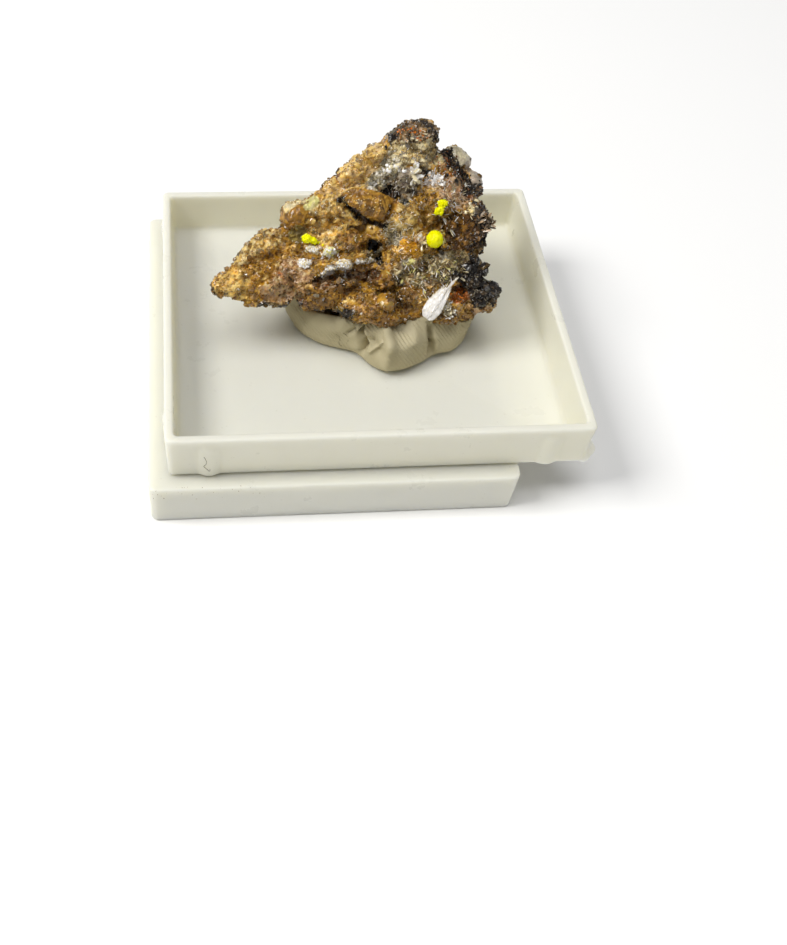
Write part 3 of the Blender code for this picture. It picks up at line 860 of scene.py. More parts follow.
def new_group(name: str, inputs: dict[str, tuple | float]) -> tuple[NodeKit, dict, dict]:
    """Starts a shader node group that gives a colour, a roughness and a relief's height.

    Args:
        name: The group's name.
        inputs: The starting values of its inputs, by their names.

    Returns:
        The group's node kit, its inputs' sockets and its outputs' sockets.
    """
    group = bpy.data.node_groups.new(name, "ShaderNodeTree")
    for label, value in inputs.items():
        kind = COLOUR_SOCKET if isinstance(value, tuple) else VALUE_SOCKET
        group.interface.new_socket(name=label, in_out="INPUT", socket_type=kind).default_value = value
    for label, kind in OUTPUTS.items():
        group.interface.new_socket(name=label, in_out="OUTPUT", socket_type=kind)
    kit = NodeKit(group)
    return kit, kit.add("NodeGroupInput").outputs, kit.add("NodeGroupOutput").inputs


def grain_group() -> bpy.types.NodeTree:
    """Builds the mottle that all mineral finishes share: fine dark and light flecks and a relief.

    Returns:
        The node group.
    """
    start = {"Colour": (0.5, 0.4, 0.2, 1), "Flecks": 0.5, "Scale": 1500.0}
    kit, come, go = new_group("mineral_grain", start)
    place = kit.add("ShaderNodeTexCoord").outputs["Object"]
    scale = come["Scale"]
    cloud = {"Vector": place, "Scale": scale, "Detail": 4.0, "Roughness": 0.6}
    broad = kit.add("ShaderNodeTexNoise", cloud).outputs["Fac"]
    fine_scale = kit.math("MULTIPLY", scale, 3.1)
    cells = kit.add("ShaderNodeTexVoronoi", {"Vector": place, "Scale": fine_scale})
    cell_value = kit.add("ShaderNodeSeparateColor", {0: cells.outputs["Color"]}).outputs[0]
    dark = kit.span(broad, 0.34, 0.56, 0.6, 1.05)
    fleck = kit.span(cell_value, 0.0, 1.0, 0.75, 1.3)
    shade = kit.math("MULTIPLY", dark, fleck)
    softened = kit.add("ShaderNodeMapRange", {0: come["Flecks"], 3: 1.0, 4: shade}).outputs[0]
    grey = kit.add("ShaderNodeCombineColor", {0: softened, 1: softened, 2: softened}).outputs[0]
    kit.join(kit.mix(1.0, come["Colour"], grey, "MULTIPLY"), go["Colour"])
    kit.join(kit.span(broad, 0.3, 0.7, 0.04, 0.22), go["Roughness"])
    kit.join(kit.math("ADD", broad, kit.math("MULTIPLY", cell_value, 0.35)), go["Height"])
    return kit.tree


def wear_group() -> bpy.types.NodeTree:
    """Builds the faint mottle, specks and dust of moulded plastic and putty.

    Returns:
        The node group.
    """
    start = {
        "Colour": (0.8, 0.8, 0.75, 1),
        "Dust": (0.4, 0.36, 0.28, 1),
        "Amount": 0.5,
        "Scale": 400.0,
        "Roughness": 0.35,
    }
    kit, come, go = new_group("surface_wear", start)
    place = kit.add("ShaderNodeTexCoord").outputs["Object"]
    scale = come["Scale"]
    broad = {"Vector": place, "Scale": scale, "Detail": 5.0, "Roughness": 0.6}
    cloud = kit.add("ShaderNodeTexNoise", broad).outputs["Fac"]
    speck_scale = kit.math("MULTIPLY", scale, 9.0)
    specks = kit.add("ShaderNodeTexVoronoi", {"Vector": place, "Scale": speck_scale})
    chosen = kit.add("ShaderNodeSeparateColor", {0: specks.outputs["Color"]}).outputs[0]
    near = kit.span(specks.outputs["Distance"], 0.1, 0.3, 1.0, 0.0)
    rare = kit.span(chosen, 0.93, 0.97)
    speck = kit.math("MULTIPLY", kit.math("MULTIPLY", near, rare), come["Amount"])
    haze = kit.math("MULTIPLY", kit.span(cloud, 0.45, 0.9, 0.0, 0.25), come["Amount"])
    dirt = kit.math("MAXIMUM", speck, haze)
    kit.join(kit.mix(dirt, come["Colour"], come["Dust"]), go["Colour"])
    kit.join(kit.math("ADD", come["Roughness"], kit.span(cloud, 0.3, 0.7, -0.08, 0.14)), go["Roughness"])
    kit.join(kit.math("ADD", cloud, kit.math("MULTIPLY", speck, 0.6)), go["Height"])
    return kit.tree


@dataclass
class Groups:
    """The shader node groups, built once."""

    grain: bpy.types.NodeTree = field(default_factory=grain_group)
    wear: bpy.types.NodeTree = field(default_factory=wear_group)


class Shader:
    """A new material's shader, and what every finish sets on it."""

    def __init__(self, name: str, surface: bpy.types.NodeTree) -> None:
        """Makes the material with its surface group.

        Args:
            name: The material's name.
            surface: The shader group that gives its colour, roughness and height.
        """
        self.material = bpy.data.materials.new(name)
        self.material.use_nodes = True
        self.kit = NodeKit(self.material.node_tree)
        self.inputs = self.material.node_tree.nodes["Principled BSDF"].inputs
        self.surface = self.kit.add("ShaderNodeGroup", node_tree=surface)

    def dress(self, relief: float, strength: float, gloss: float) -> None:
        """Feeds the surface group's outputs to the shader.

        Args:
            relief: The relief's depth in millimetres.
            strength: The bump's strength.
            gloss: The specular level.
        """
        self.kit.join(self.surface.outputs["Colour"], self.inputs["Base Color"])
        self.kit.join(self.surface.outputs["Roughness"], self.inputs["Roughness"])
        links = {"Strength": strength, "Distance": relief * MM, "Height": self.surface.outputs["Height"]}
        self.kit.join(self.kit.add("ShaderNodeBump", links).outputs["Normal"], self.inputs["Normal"])
        self.inputs["Specular IOR Level"].default_value = gloss

    def soften(self, weight: float, depth: float, radius: Colour) -> None:
        """Lets light wander below the surface.

        Args:
            weight: The share of light that does.
            depth: How deep it goes, in millimetres.
            radius: How far each colour goes, as a share of the depth.
        """
        self.inputs["Subsurface Weight"].default_value = weight
        self.inputs["Subsurface Scale"].default_value = depth * MM
        self.inputs["Subsurface Radius"].default_value = radius


@dataclass(frozen=True)
class MineralFinish:
    """A crystal or rock finish: the mesh's tint, mottled, over a partly clear body."""

    name: str
    clear: float
    ior: float
    depth: float
    soft: float = 0.0
    flecks: float = 0.6
    scale: float = 1500.0
    relief: float = 0.03
    gloss: float = 0.5
    body_colour: tuple[int, int, int] = (255, 255, 255)
    density: float = 0.0
    bump_strength: float = 0.6
    spread: Colour = (1.0, 0.9, 0.8)

    def create(self, groups: Groups) -> bpy.types.Material:
        """Makes the material.

        Args:
            groups: The shader groups.

        Returns:
            The material.
        """
        shader = Shader(self.name, groups.grain)
        kit = shader.kit
        if self.density:
            body = {"Color": (*linear(self.body_colour), 1), "Density": self.density}
            volume = kit.add("ShaderNodeVolumeAbsorption", body).outputs["Volume"]
            kit.join(volume, kit.tree.nodes["Material Output"].inputs["Volume"])
        tint = kit.add("ShaderNodeAttribute", attribute_name="tint", attribute_type="GEOMETRY")
        kit.join(tint.outputs["Color"], shader.surface.inputs["Colour"])
        shader.surface.inputs["Flecks"].default_value = self.flecks
        shader.surface.inputs["Scale"].default_value = self.scale
        shader.dress(self.relief, self.bump_strength, self.gloss)
        shader.inputs["Transmission Weight"].default_value = self.clear
        shader.inputs["IOR"].default_value = self.ior
        if self.soft:
            shader.soften(self.soft, self.depth, self.spread)
        return shader.material


@dataclass(frozen=True)
class PlainFinish:
    """A plastic or putty finish with mottle, specks and a fine relief."""

    name: str
    colour: tuple[int, int, int]
    dust: tuple[int, int, int]
    amount: float
    scale: float
    roughness: float
    relief: float
    soft: float = 0.0
    gloss: float = 0.5
    depth: float = 0.4
    bump_strength: float = 0.5
    spread: Colour = (1.0, 0.95, 0.8)

    def create(self, groups: Groups) -> bpy.types.Material:
        """Makes the material.

        Args:
            groups: The shader groups.

        Returns:
            The material.
        """
        shader = Shader(self.name, groups.wear)
        values = shader.surface.inputs
        values["Colour"].default_value = (*linear(self.colour), 1)
        values["Dust"].default_value = (*linear(self.dust), 1)
        values["Amount"].default_value = self.amount
        values["Scale"].default_value = self.scale
        values["Roughness"].default_value = self.roughness
        shader.dress(self.relief, self.bump_strength, self.gloss)
        if self.soft:
            shader.soften(self.soft, self.depth, self.spread)
        return shader.material


PLASTIC = PlainFinish(
    "white_plastic", (228, 226, 211), (150, 136, 108),
    amount=0.1, scale=260, roughness=0.34, relief=0.01, soft=0.85, gloss=0.4, depth=2.2,
)
PUTTY = PlainFinish(
    "grey_putty", (184, 174, 142), (132, 120, 94),
    amount=0.5, scale=700, roughness=0.62, relief=0.03, soft=0.1, gloss=0.3,
)
HAIR = PlainFinish(
    "dark_hair", (118, 108, 84), (60, 54, 44), amount=0.3, scale=900, roughness=0.5, relief=0.005
)
DUST = PlainFinish(
    "brown_dust", (150, 128, 96), (90, 74, 52), amount=0.6, scale=1500, roughness=0.7, relief=0.01
)
ROCK = MineralFinish("amber_rock", 0.0, 1.5, 0.5, soft=0.3, flecks=0.5, scale=1400, relief=0.05)
AMBER = MineralFinish(
    "amber_crystal", 0.75, 1.5, 0.4, flecks=0.25, scale=1800, relief=0.01,
    body_colour=(250, 214, 140), density=600,
)
CLEAR = MineralFinish(
    "clear_crystal", 0.85, 1.54, 0.4, flecks=0.15, scale=1800, relief=0.01,
    body_colour=(246, 238, 214), density=300,
)
DARK = MineralFinish("dark_crystal", 0.25, 1.55, 0.3, flecks=0.5, scale=1800, relief=0.02)
WHITE = MineralFinish("white_blade", 0.0, 1.57, 0.2, soft=0.15, flecks=0.04, scale=1800, relief=0.01)
YELLOW = MineralFinish(
    "yellow_fibre", 0.0, 1.5, 0.1, soft=0.15, flecks=0.05, scale=3500, relief=0.015, gloss=0.3
)
SHARP_ANGLE = math.radians(35)
STRAIGHT = 0.999


def finish_piece(item: bpy.types.Object, material: bpy.types.Material, smooth: bool) -> None:
    """Gives a piece its material, shading and slot, and sets it on the part's body.

    Args:
        item: The piece.
        material: Its finish.
        smooth: Whether its faces are shaded smooth.
    """
    item.data.materials.clear()
    item.data.materials.append(material)
    if smooth:
        item.data.shade_smooth()
        item.data.set_sharp_from_angle(angle=SHARP_ANGLE)
    else:
        item.data.shade_flat()
    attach(item, BODY)
    LOG.info("%s: %d faces", item.name, len(item.data.polygons))


@dataclass(frozen=True)
class Tray:
    """A thin moulded tray with rounded corners and, if it has them, upright ridges on its walls."""

    node: str
    upturned: bool
    draft: float
    wall: float = 0.8
    floor: float = 0.7
    corner: float = 0.65
    edge: float = 0.2
    lip: float = 0.22
    fillet: float = 0.45
    least_corner: float = 0.45
    ridges: bool = False
    ridge_from_corner: float = 3.8
    ridge_width: float = 1.0
    ridge_swell: float = 0.45
    ridge_shown: float = 0.65
    lug_from_corner: float = 1.6
    lug_width: float = 1.35
    lug_swell: float = 1.05
    lug_shown: float = 1.4
    ridge_top: float = 0.86
    ridge_run: float = 0.14
    ridge_taper: float = 0.25
    ridge_round: float = 1.3
    lug_top: float = 0.55
    lug_run: float = 0.5
    lug_taper: float = 1.2
    lug_round: float = 0.9
    corner_steps: int = 10
    side_step: float = 0.22
    arc_steps: int = 6
    wall_steps: int = 24
    inner_steps: int = 8

    def outline(self, half_w: float, half_d: float, inset: float) -> tuple[np.ndarray, np.ndarray]:
        """Walks round the tray's rounded rectangle, moved inward by an inset.

        Args:
            half_w: Half the tray's width in millimetres.
            half_d: Half its depth.
            inset: How far inside the outer wall the walk goes.

        Returns:
            The points and the outward directions there.
        """
        corner = max(self.least_corner, self.corner - inset)
        points = []
        ways = []
        spots = ((1, -1, -90), (1, 1, 0), (-1, 1, 90), (-1, -1, 180))
        for index, (sx, sy, start) in enumerate(spots):
            middle = np.array([sx * (half_w - inset - corner), sy * (half_d - inset - corner)])
            for step in range(self.corner_steps + 1):
                angle = math.radians(start + 90 * step / self.corner_steps)
                way = np.array([math.cos(angle), math.sin(angle)])
                points.append(middle + way * corner)
                ways.append(way)
            here = points[-1]
            nx, ny, _ = spots[(index + 1) % 4]
            following = np.array([nx * (half_w - inset - corner), ny * (half_d - inset - corner)])
            following = following + way * corner
            steps = int(round(2 * (half_d if index % 2 == 0 else half_w) / self.side_step))
            for step in range(1, steps):
                points.append(here + (following - here) * step / steps)
                ways.append(way)
        return np.array(points), np.array(ways)

    def swell(
        self, points: np.ndarray, ways: np.ndarray, share: float, size: tuple[float, float]
    ) -> np.ndarray:
        """Finds how far the wall bulges at its ridges and at the lug by one corner.

        Args:
            points: The wall's points in plan.
            ways: Their outward directions.
            share: The height, from 0 at the foot to 1 at the rim.
            size: Half the tray's width and depth.

        Returns:
            The bulge at each point in millimetres.
        """
        bulge = np.zeros(len(points))
        if not self.ridges:
            return bulge
        fade = smooth_step((self.ridge_top - share) / self.ridge_run)
        fade *= 1 - self.ridge_taper + self.ridge_taper * (1 - share)
        ridge = self.ridge_swell * self.ridge_shown * fade
        lug_fade = min(1.0, max(0.0, (self.lug_top - share) / self.lug_run)) ** self.lug_taper
        for along, half in ((0, size[0]), (1, size[1])):
            on_side = np.abs(ways[:, 1 - along]) > STRAIGHT
            for sign in (-1, 1):
                away = np.abs(points[:, along] - sign * (half - self.ridge_from_corner))
                hump = np.clip(1 - (away / self.ridge_width) ** 2, 0, 1) ** self.ridge_round
                bulge = np.maximum(bulge, np.where(on_side, hump * ridge, 0))
        away = np.abs(points[:, 1] + size[1] - self.lug_from_corner)
        to_right = np.clip(ways[:, 0] * 3 - 0.6, 0, 1)
        lug = np.clip(1 - (away / self.lug_width) ** 2, 0, 1) ** self.lug_round * to_right
        by_lug = (points[:, 0] > 0) & (points[:, 1] < 0) & (ways[:, 0] > STRAIGHT)
        bulge = np.where(by_lug, 0, bulge)
        return np.maximum(bulge, lug * self.lug_swell * self.lug_shown * lug_fade)

    def plan(self) -> tuple[np.ndarray, float, float]:
        """Measures the tray's outer wall without its ridges.

        Returns:
            Its middle, half its width and half its depth.
        """
        low, high = (np.array(corner[:2]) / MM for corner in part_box(self.node))
        if self.ridges:
            low = low + self.ridge_swell - self.draft
            high = high - np.array([self.lug_swell, self.ridge_swell]) + self.draft
        middle = (low + high) / 2
        return middle, *((high - low) / 2)

    def build(self) -> bpy.types.Object:
        """Lofts the tray's outer wall, lip, inner wall and floors as one closed mesh.

        Returns:
            The tray.
        """
        middle, half_w, half_d = self.plan()
        low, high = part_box(self.node)
        height = (high.z - low.z) / MM
        rings = []
        for inset, rise, outside in self.profile(height):
            share = rise / height
            points, ways = self.outline(half_w, half_d, inset + self.draft * (1 - share))
            if outside:
                points = points + ways * self.swell(points, ways, share, (half_w, half_d))[:, None]
            rings.append(np.column_stack([points, np.full(len(points), rise)]))
        count = len(rings[0])
        verts = np.vstack([*rings, [[0, 0, 0]], [[0, 0, self.floor]]])
        here = np.arange(count)
        there = (here + 1) % count
        faces = []
        for level in range(len(rings) - 1):
            a, b = level * count + here, level * count + there
            faces.append(np.column_stack([a, b, b + count]))
            faces.append(np.column_stack([a, b + count, a + count]))
        foot = np.full(count, len(rings) * count)
        last = (len(rings) - 1) * count
        faces.append(np.column_stack([foot, there, here]))
        faces.append(np.column_stack([foot + 1, last + here, last + there]))
        faces = np.vstack(faces)
        verts[:, :2] += middle
        if self.upturned:
            verts[:, 2] = height - verts[:, 2]
            faces = faces[:, ::-1]
        verts[:, 2] += low.z / MM
        return mesh_object(f"{self.node}_shell", verts * MM, faces)

    def profile(self, height: float) -> list[tuple[float, float, bool]]:
        """Draws the wall's section, from the foot over the lip to the inner floor.

        Args:
            height: The tray's height in millimetres.

        Returns:
            Rows of inset from the outer wall, height, and whether the row is on the outer wall.
        """
        rows = []

        def arc(across: float, up: float, radius: float, start: float, end: float, outside: bool) -> None:
            for step in range(self.arc_steps + 1):
                angle = math.radians(start + (end - start) * step / self.arc_steps)
                rows.append((across - radius * math.cos(angle), up + radius * math.sin(angle), outside))

        arc(self.edge, self.edge, self.edge, -90, 0, True)
        rise = height - self.edge - self.lip
        for step in range(1, self.wall_steps):
            rows.append((0.0, self.edge + rise * step / self.wall_steps, True))
        arc(self.lip, height - self.lip, self.lip, 0, 90, True)
        arc(self.wall - self.lip, height - self.lip, self.lip, 90, 180, False)
        fall = height - self.lip - self.floor - self.fillet
        for step in range(1, self.inner_steps + 1):
            rows.append((self.wall, height - self.lip - fall * step / self.inner_steps, False))
        arc(self.wall + self.fillet, self.floor + self.fillet, self.fillet, 0, -90, False)
        return rows


@dataclass(frozen=True)
class Crease:
    """A fold of the putty along a stroke of the photograph's pixels."""

    start: Pixel
    end: Pixel
    reach: float
    depth: float

    def share(self, pixel: np.ndarray) -> float:
        """Says how close a pixel is to the crease.

        Args:
            pixel: The place in the photograph.

        Returns:
            1 on the crease, falling to 0 far from it.
        """
        stroke = Vector(self.end) - Vector(self.start)
        away = Vector(pixel) - Vector(self.start)
        share = min(1.0, max(0.0, away.dot(stroke) / stroke.length_squared))
        return math.exp(-(((away - stroke * share).length / self.reach) ** 2))


@dataclass(frozen=True)
class Putty:
    """The cushion of putty between the tray's floor and the rock, with creases and prints."""

    node: str = "mounting_putty"
    voxel: float = 0.11
    smoothing: int = 10
    creases: tuple[Crease, ...] = (
        Crease((358, 316), (363, 346), 3.0, 1.0),
        Crease((363, 346), (359, 358), 3.2, 0.8),
        Crease((349, 333), (360, 326), 2.4, 0.35),
        Crease((430, 324), (433, 344), 2.6, 0.7),
        Crease((433, 344), (430, 366), 3.0, 0.9),
        Crease((384, 326), (391, 348), 4.5, -0.35),
        Crease((391, 348), (386, 372), 5.5, -0.35),
        Crease((372, 340), (378, 352), 5.5, 0.6),
        Crease((370, 352), (382, 343), 1.6, -0.3),
        Crease((365, 332), (371, 338), 2.2, -0.3),
        Crease((464, 326), (459, 356), 4.0, 0.35),
    )
    hair: tuple[Pixel, ...] = (
        (336, 334), (341, 337), (338, 343), (342, 347), (349, 341), (347, 335), (343, 333),
    )
    hair_radius: float = 0.02
    broad_lumps: tuple[float, float] = (0.4, 0.3)
    small_lumps: tuple[float, float] = (1.1, 0.1)
    lump_shift: tuple[float, float, float] = (3, 9, 1)
    foot_fade: float = 5.0
    cling_from: float = 0.5
    cling_over: float = 0.42
    print_way: tuple[float, float, float] = (0.86, 0.3, 0.6)
    swirl: tuple[float, float] = (0.25, 4.8)
    patches: tuple[float, float, float] = (0.35, 2.2, 1.0)
    patch_shift: tuple[float, float, float] = (0, 0, 8)
    print_spacing: float = 0.34
    print_depth: float = 0.045
    cling: float = 0.2
    tuck: float = 1.0
    settling: int = 14
    most_gap: float = 2.4

    def build(self, rock: BVHTree) -> bpy.types.Object:
        """Makes the cushion.

        Args:
            rock: The rock's surface, which the putty's top clings to.

        Returns:
            The putty's object.
        """
        item = fine_skin("putty_cushion", self.node, self.voxel, self.smoothing)
        self.cling_to(rock, item)
        self.press(item)
        return item

    def cling_to(self, rock: BVHTree, item: bpy.types.Object) -> None:
        """Gives the cushion broad lumps and draws its top to the rock.

        Args:
            rock: The rock's surface.
            item: The cushion.
        """
        low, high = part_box(self.node)
        sight = -CAMERA.axes()[2]
        shift = Vector(self.lump_shift)
        places, normals = points_of(item.data)
        for index, (place, normal) in enumerate(zip(places, normals)):
            here = Vector(place) / MM
            rise = (place[2] - low.z) / (high.z - low.z)
            push = noise.noise(here * self.broad_lumps[0] + shift) * self.broad_lumps[1]
            push += noise.noise(here * self.small_lumps[0]) * self.small_lumps[1]
            places[index] += normal * push * smooth_step(rise * self.foot_fade) * MM
            contact, way, _, gap = rock.find_nearest(Vector(places[index]))
            reach = smooth_step((rise - self.cling_from) / self.cling_over)
            if reach and gap < self.most_gap * MM:
                target = np.array(contact - way * self.cling * MM)
                target[2] -= max(0.0, min(1.0, 2 * way.dot(sight))) * self.tuck * MM
                places[index] += (target - places[index]) * reach
        self.settle(item, places)

    def press(self, item: bpy.types.Object) -> None:
        """Presses the creases and the fingerprints' ridges into the cushion.

        Args:
            item: The cushion.
        """
        low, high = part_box(self.node)
        sight = -CAMERA.axes()[2]
        shift = Vector(self.patch_shift)
        print_x, print_y, print_z = self.print_way
        patch_scale, patch_gain, patch_start = self.patches
        places, normals = points_of(item.data)
        pixels = CAMERA.pixels(places)
        for index, (place, normal) in enumerate(zip(places, normals)):
            here = Vector(place) / MM
            front = min(1.0, max(0.0, 3 * Vector(normal).dot(sight)))
            push = 0.0
            for crease in self.creases:
                push -= crease.depth * front * crease.share(pixels[index])
            swirl = noise.noise(here * self.swirl[0]) * self.swirl[1]
            across = (here.x * print_x + here.z * print_z + here.y * print_y) / self.print_spacing
            patch = smooth_step(noise.noise(here * patch_scale + shift) * patch_gain + patch_start)
            push += math.sin(across * math.tau + swirl) * self.print_depth * patch
            free = smooth_step((place[2] - low.z) / (high.z - low.z) * self.foot_fade)
            places[index] += normal * push * free * MM
        move_points(item.data, places)

    def settle(self, item: bpy.types.Object, places: np.ndarray) -> None:
        """Moves the cushion's points and evens out their folds.

        Args:
            item: The cushion.
            places: The points' new places.
        """
        move_points(item.data, places)
        work = bmesh.new()
        work.from_mesh(item.data)
        axes = {"use_axis_x": True, "use_axis_y": True, "use_axis_z": True}
        for _ in range(self.settling):
            bmesh.ops.smooth_vert(work, verts=work.verts, factor=0.5, **axes)
        work.to_mesh(item.data)
        work.free()
        item.data.update()

    def build_hair(self, putty: BVHTree) -> bpy.types.Object:
        """Makes the short curled hair that sticks to the putty's left lobe."""
        return thread("putty_hair", [spot_on(putty, pixel) for pixel in self.hair], self.hair_radius)


def thread(name: str, stops: list[tuple[Vector, Vector]], radius: float) -> bpy.types.Object:
    """Lays a thin round thread on a surface.

    Args:
        name: The thread's name.
        stops: The points that it passes and the surface's normals there.
        radius: Its radius in millimetres.

    Returns:
        The thread's mesh object.
    """
    curve = bpy.data.curves.new(name, "CURVE")
    curve.dimensions = "3D"
    curve.bevel_depth = radius * MM
    curve.bevel_resolution = 1
    curve.resolution_u = 6
    curve.use_fill_caps = True
    spline = curve.splines.new("NURBS")
    spline.points.add(len(stops) - 1)
    spline.use_endpoint_u = True
    spline.order_u = 3
    for point, (place, normal) in zip(spline.points, stops):
        point.co = (*(place + normal * radius * MM), 1)
    guide = link_mesh(f"{name}_guide", curve)
    mesh = evaluated_mesh(guide)
    bpy.data.objects.remove(guide)
    return link_mesh(name, mesh)


@dataclass(frozen=True)
class TrayMarks:
    """A thin dark hair on the upper tray's front and specks of dust on the lower tray's front."""

    hair: tuple[Pixel, ...] = (
        (204, 457), (207, 461), (206, 465), (203, 466), (207, 469), (210, 472), (210, 469),
    )
    hair_radius: float = 0.022
    seed: int = 9
    specks: int = 34
    first_speck: Pixel = (150, 486)
    last_speck: Pixel = (266, 499)
    speck_size: float = 0.09

    def build_hair(self, tray: BVHTree) -> bpy.types.Object:
        """Lays the hair on the upper tray's front ridge."""
        return thread("tray_hair", [spot_on(tray, pixel) for pixel in self.hair], self.hair_radius)

    def build_specks(self, tray: BVHTree) -> bpy.types.Object:
        """Strews the dust on the lower tray.

        Args:
            tray: The lower tray's surface.

        Returns:
            The dust's object.
        """
        dice = random.Random(self.seed)
        batch = CrystalBatch()
        shapes = crystal_shapes(Habit.GRAIN, dice)
        for _ in range(self.specks):
            pixel = tuple(dice.uniform(low, high) for low, high in zip(self.first_speck, self.last_speck))
            place, normal = spot_on(tray, pixel)
            size = self.speck_size * dice.uniform(0.4, 1.2)
            turn = frame_along(normal, size * MM, any_turn(dice))
            batch.add(dice.choice(shapes), turn, np.array(place), np.ones(3))
        return batch.build("tray_dust")


@dataclass(frozen=True)
class Rock:
    """The rock's own skin: blocky facets of three sizes over the solid's lumps and ledges."""

    node: str = "matrix_rock"
    voxel: float = 0.14
    facets: tuple[tuple[float, float], ...] = ((1.5, 0.26), (0.7, 0.15), (0.33, 0.07))
    calm_share: float = 0.35
    waves: tuple[float, float] = (0.7, 0.12)
    tilt_hash: float = 5.17
    lift_slope: float = 2.5
    tints: CellTints = CellTints(0.42, 5)

    def build(self, zone_map: ZoneMap) -> bpy.types.Object:
        """Makes the skin and colours it.

        Args:
            zone_map: The zones that give its relief and colours.

        Returns:
            The skin.
        """
        item = fine_skin("rock_skin", self.node, self.voxel, 1)
        mesh = item.data
        places, normals = points_of(mesh)
        moved = places.copy()
        zones, depth = zone_map.choose(places, normals, np.zeros((len(places), 2)))
        pixels = CAMERA.pixels(places)
        for index, (place, normal) in enumerate(zip(places, normals)):
            here = Vector(place) / MM
            zone = zone_map.zones[zones[index]]
            calm = self.calm_share if zone.habit is Habit.BARE and zone.lift > 0 else 1.0
            push = noise.noise(here * self.waves[0]) * self.waves[1]
            for size, amount in self.facets:
                push += self.facet(here, size) * amount * calm
            push += zone.lift * smooth_step(depth[index] * self.lift_slope)
            if zone.ribs:
                push += zone.ribs * self.rib(here, pixels[index])
            moved[index] += normal * push * MM
        move_points(mesh, moved)
        places, normals = points_of(mesh)
        paint(mesh, self.tints.colours(zone_map, places, normals))
        return item

    def facet(self, here: Vector, size: float) -> float:
        """Finds how far the tilted facet at a place stands out.

        Args:
            here: The place in millimetres.
            size: The facets' size in millimetres.

        Returns:
            The height as a share of the facets' depth.
        """
        warped = here / size + noise.noise_vector(here / size * 0.6) * 0.25
        near = noise.voronoi(warped)[1][0]
        tilt = noise.cell_vector(near * self.tilt_hash + Vector((size, 1, 2))) * 2 - Vector((1, 1, 1))
        return (warped - near).dot(tilt) + tilt.x * 0.3

    def rib(self, here: Vector, pixel: np.ndarray) -> float:
        """Finds the height of a zone's ribs, broken up by noise.

        Args:
            here: The place in millimetres.
            pixel: Where the photograph shows it.

        Returns:
            The height as a share of the ribs' depth.
        """
        across = (pixel[0] + 0.5 * pixel[1]) / CAMERA.rib_pixels
        bend = noise.noise(here * 0.8) * 3
        return math.sin(across * math.tau + bend) * (1 + 1.5 * noise.noise(here * 2))


@dataclass(frozen=True)
class Strew:
    """A line of small crystals laid along a stroke of the photograph's pixels."""

    name: str
    path: tuple[Pixel, ...]
    count: int
    habit: Habit
    body: Body
    tints: tuple[Tint, ...]
    size: float
    spread: float = 2.0
    lean: float = 0.5
    aim: tuple[float, float] | None = None


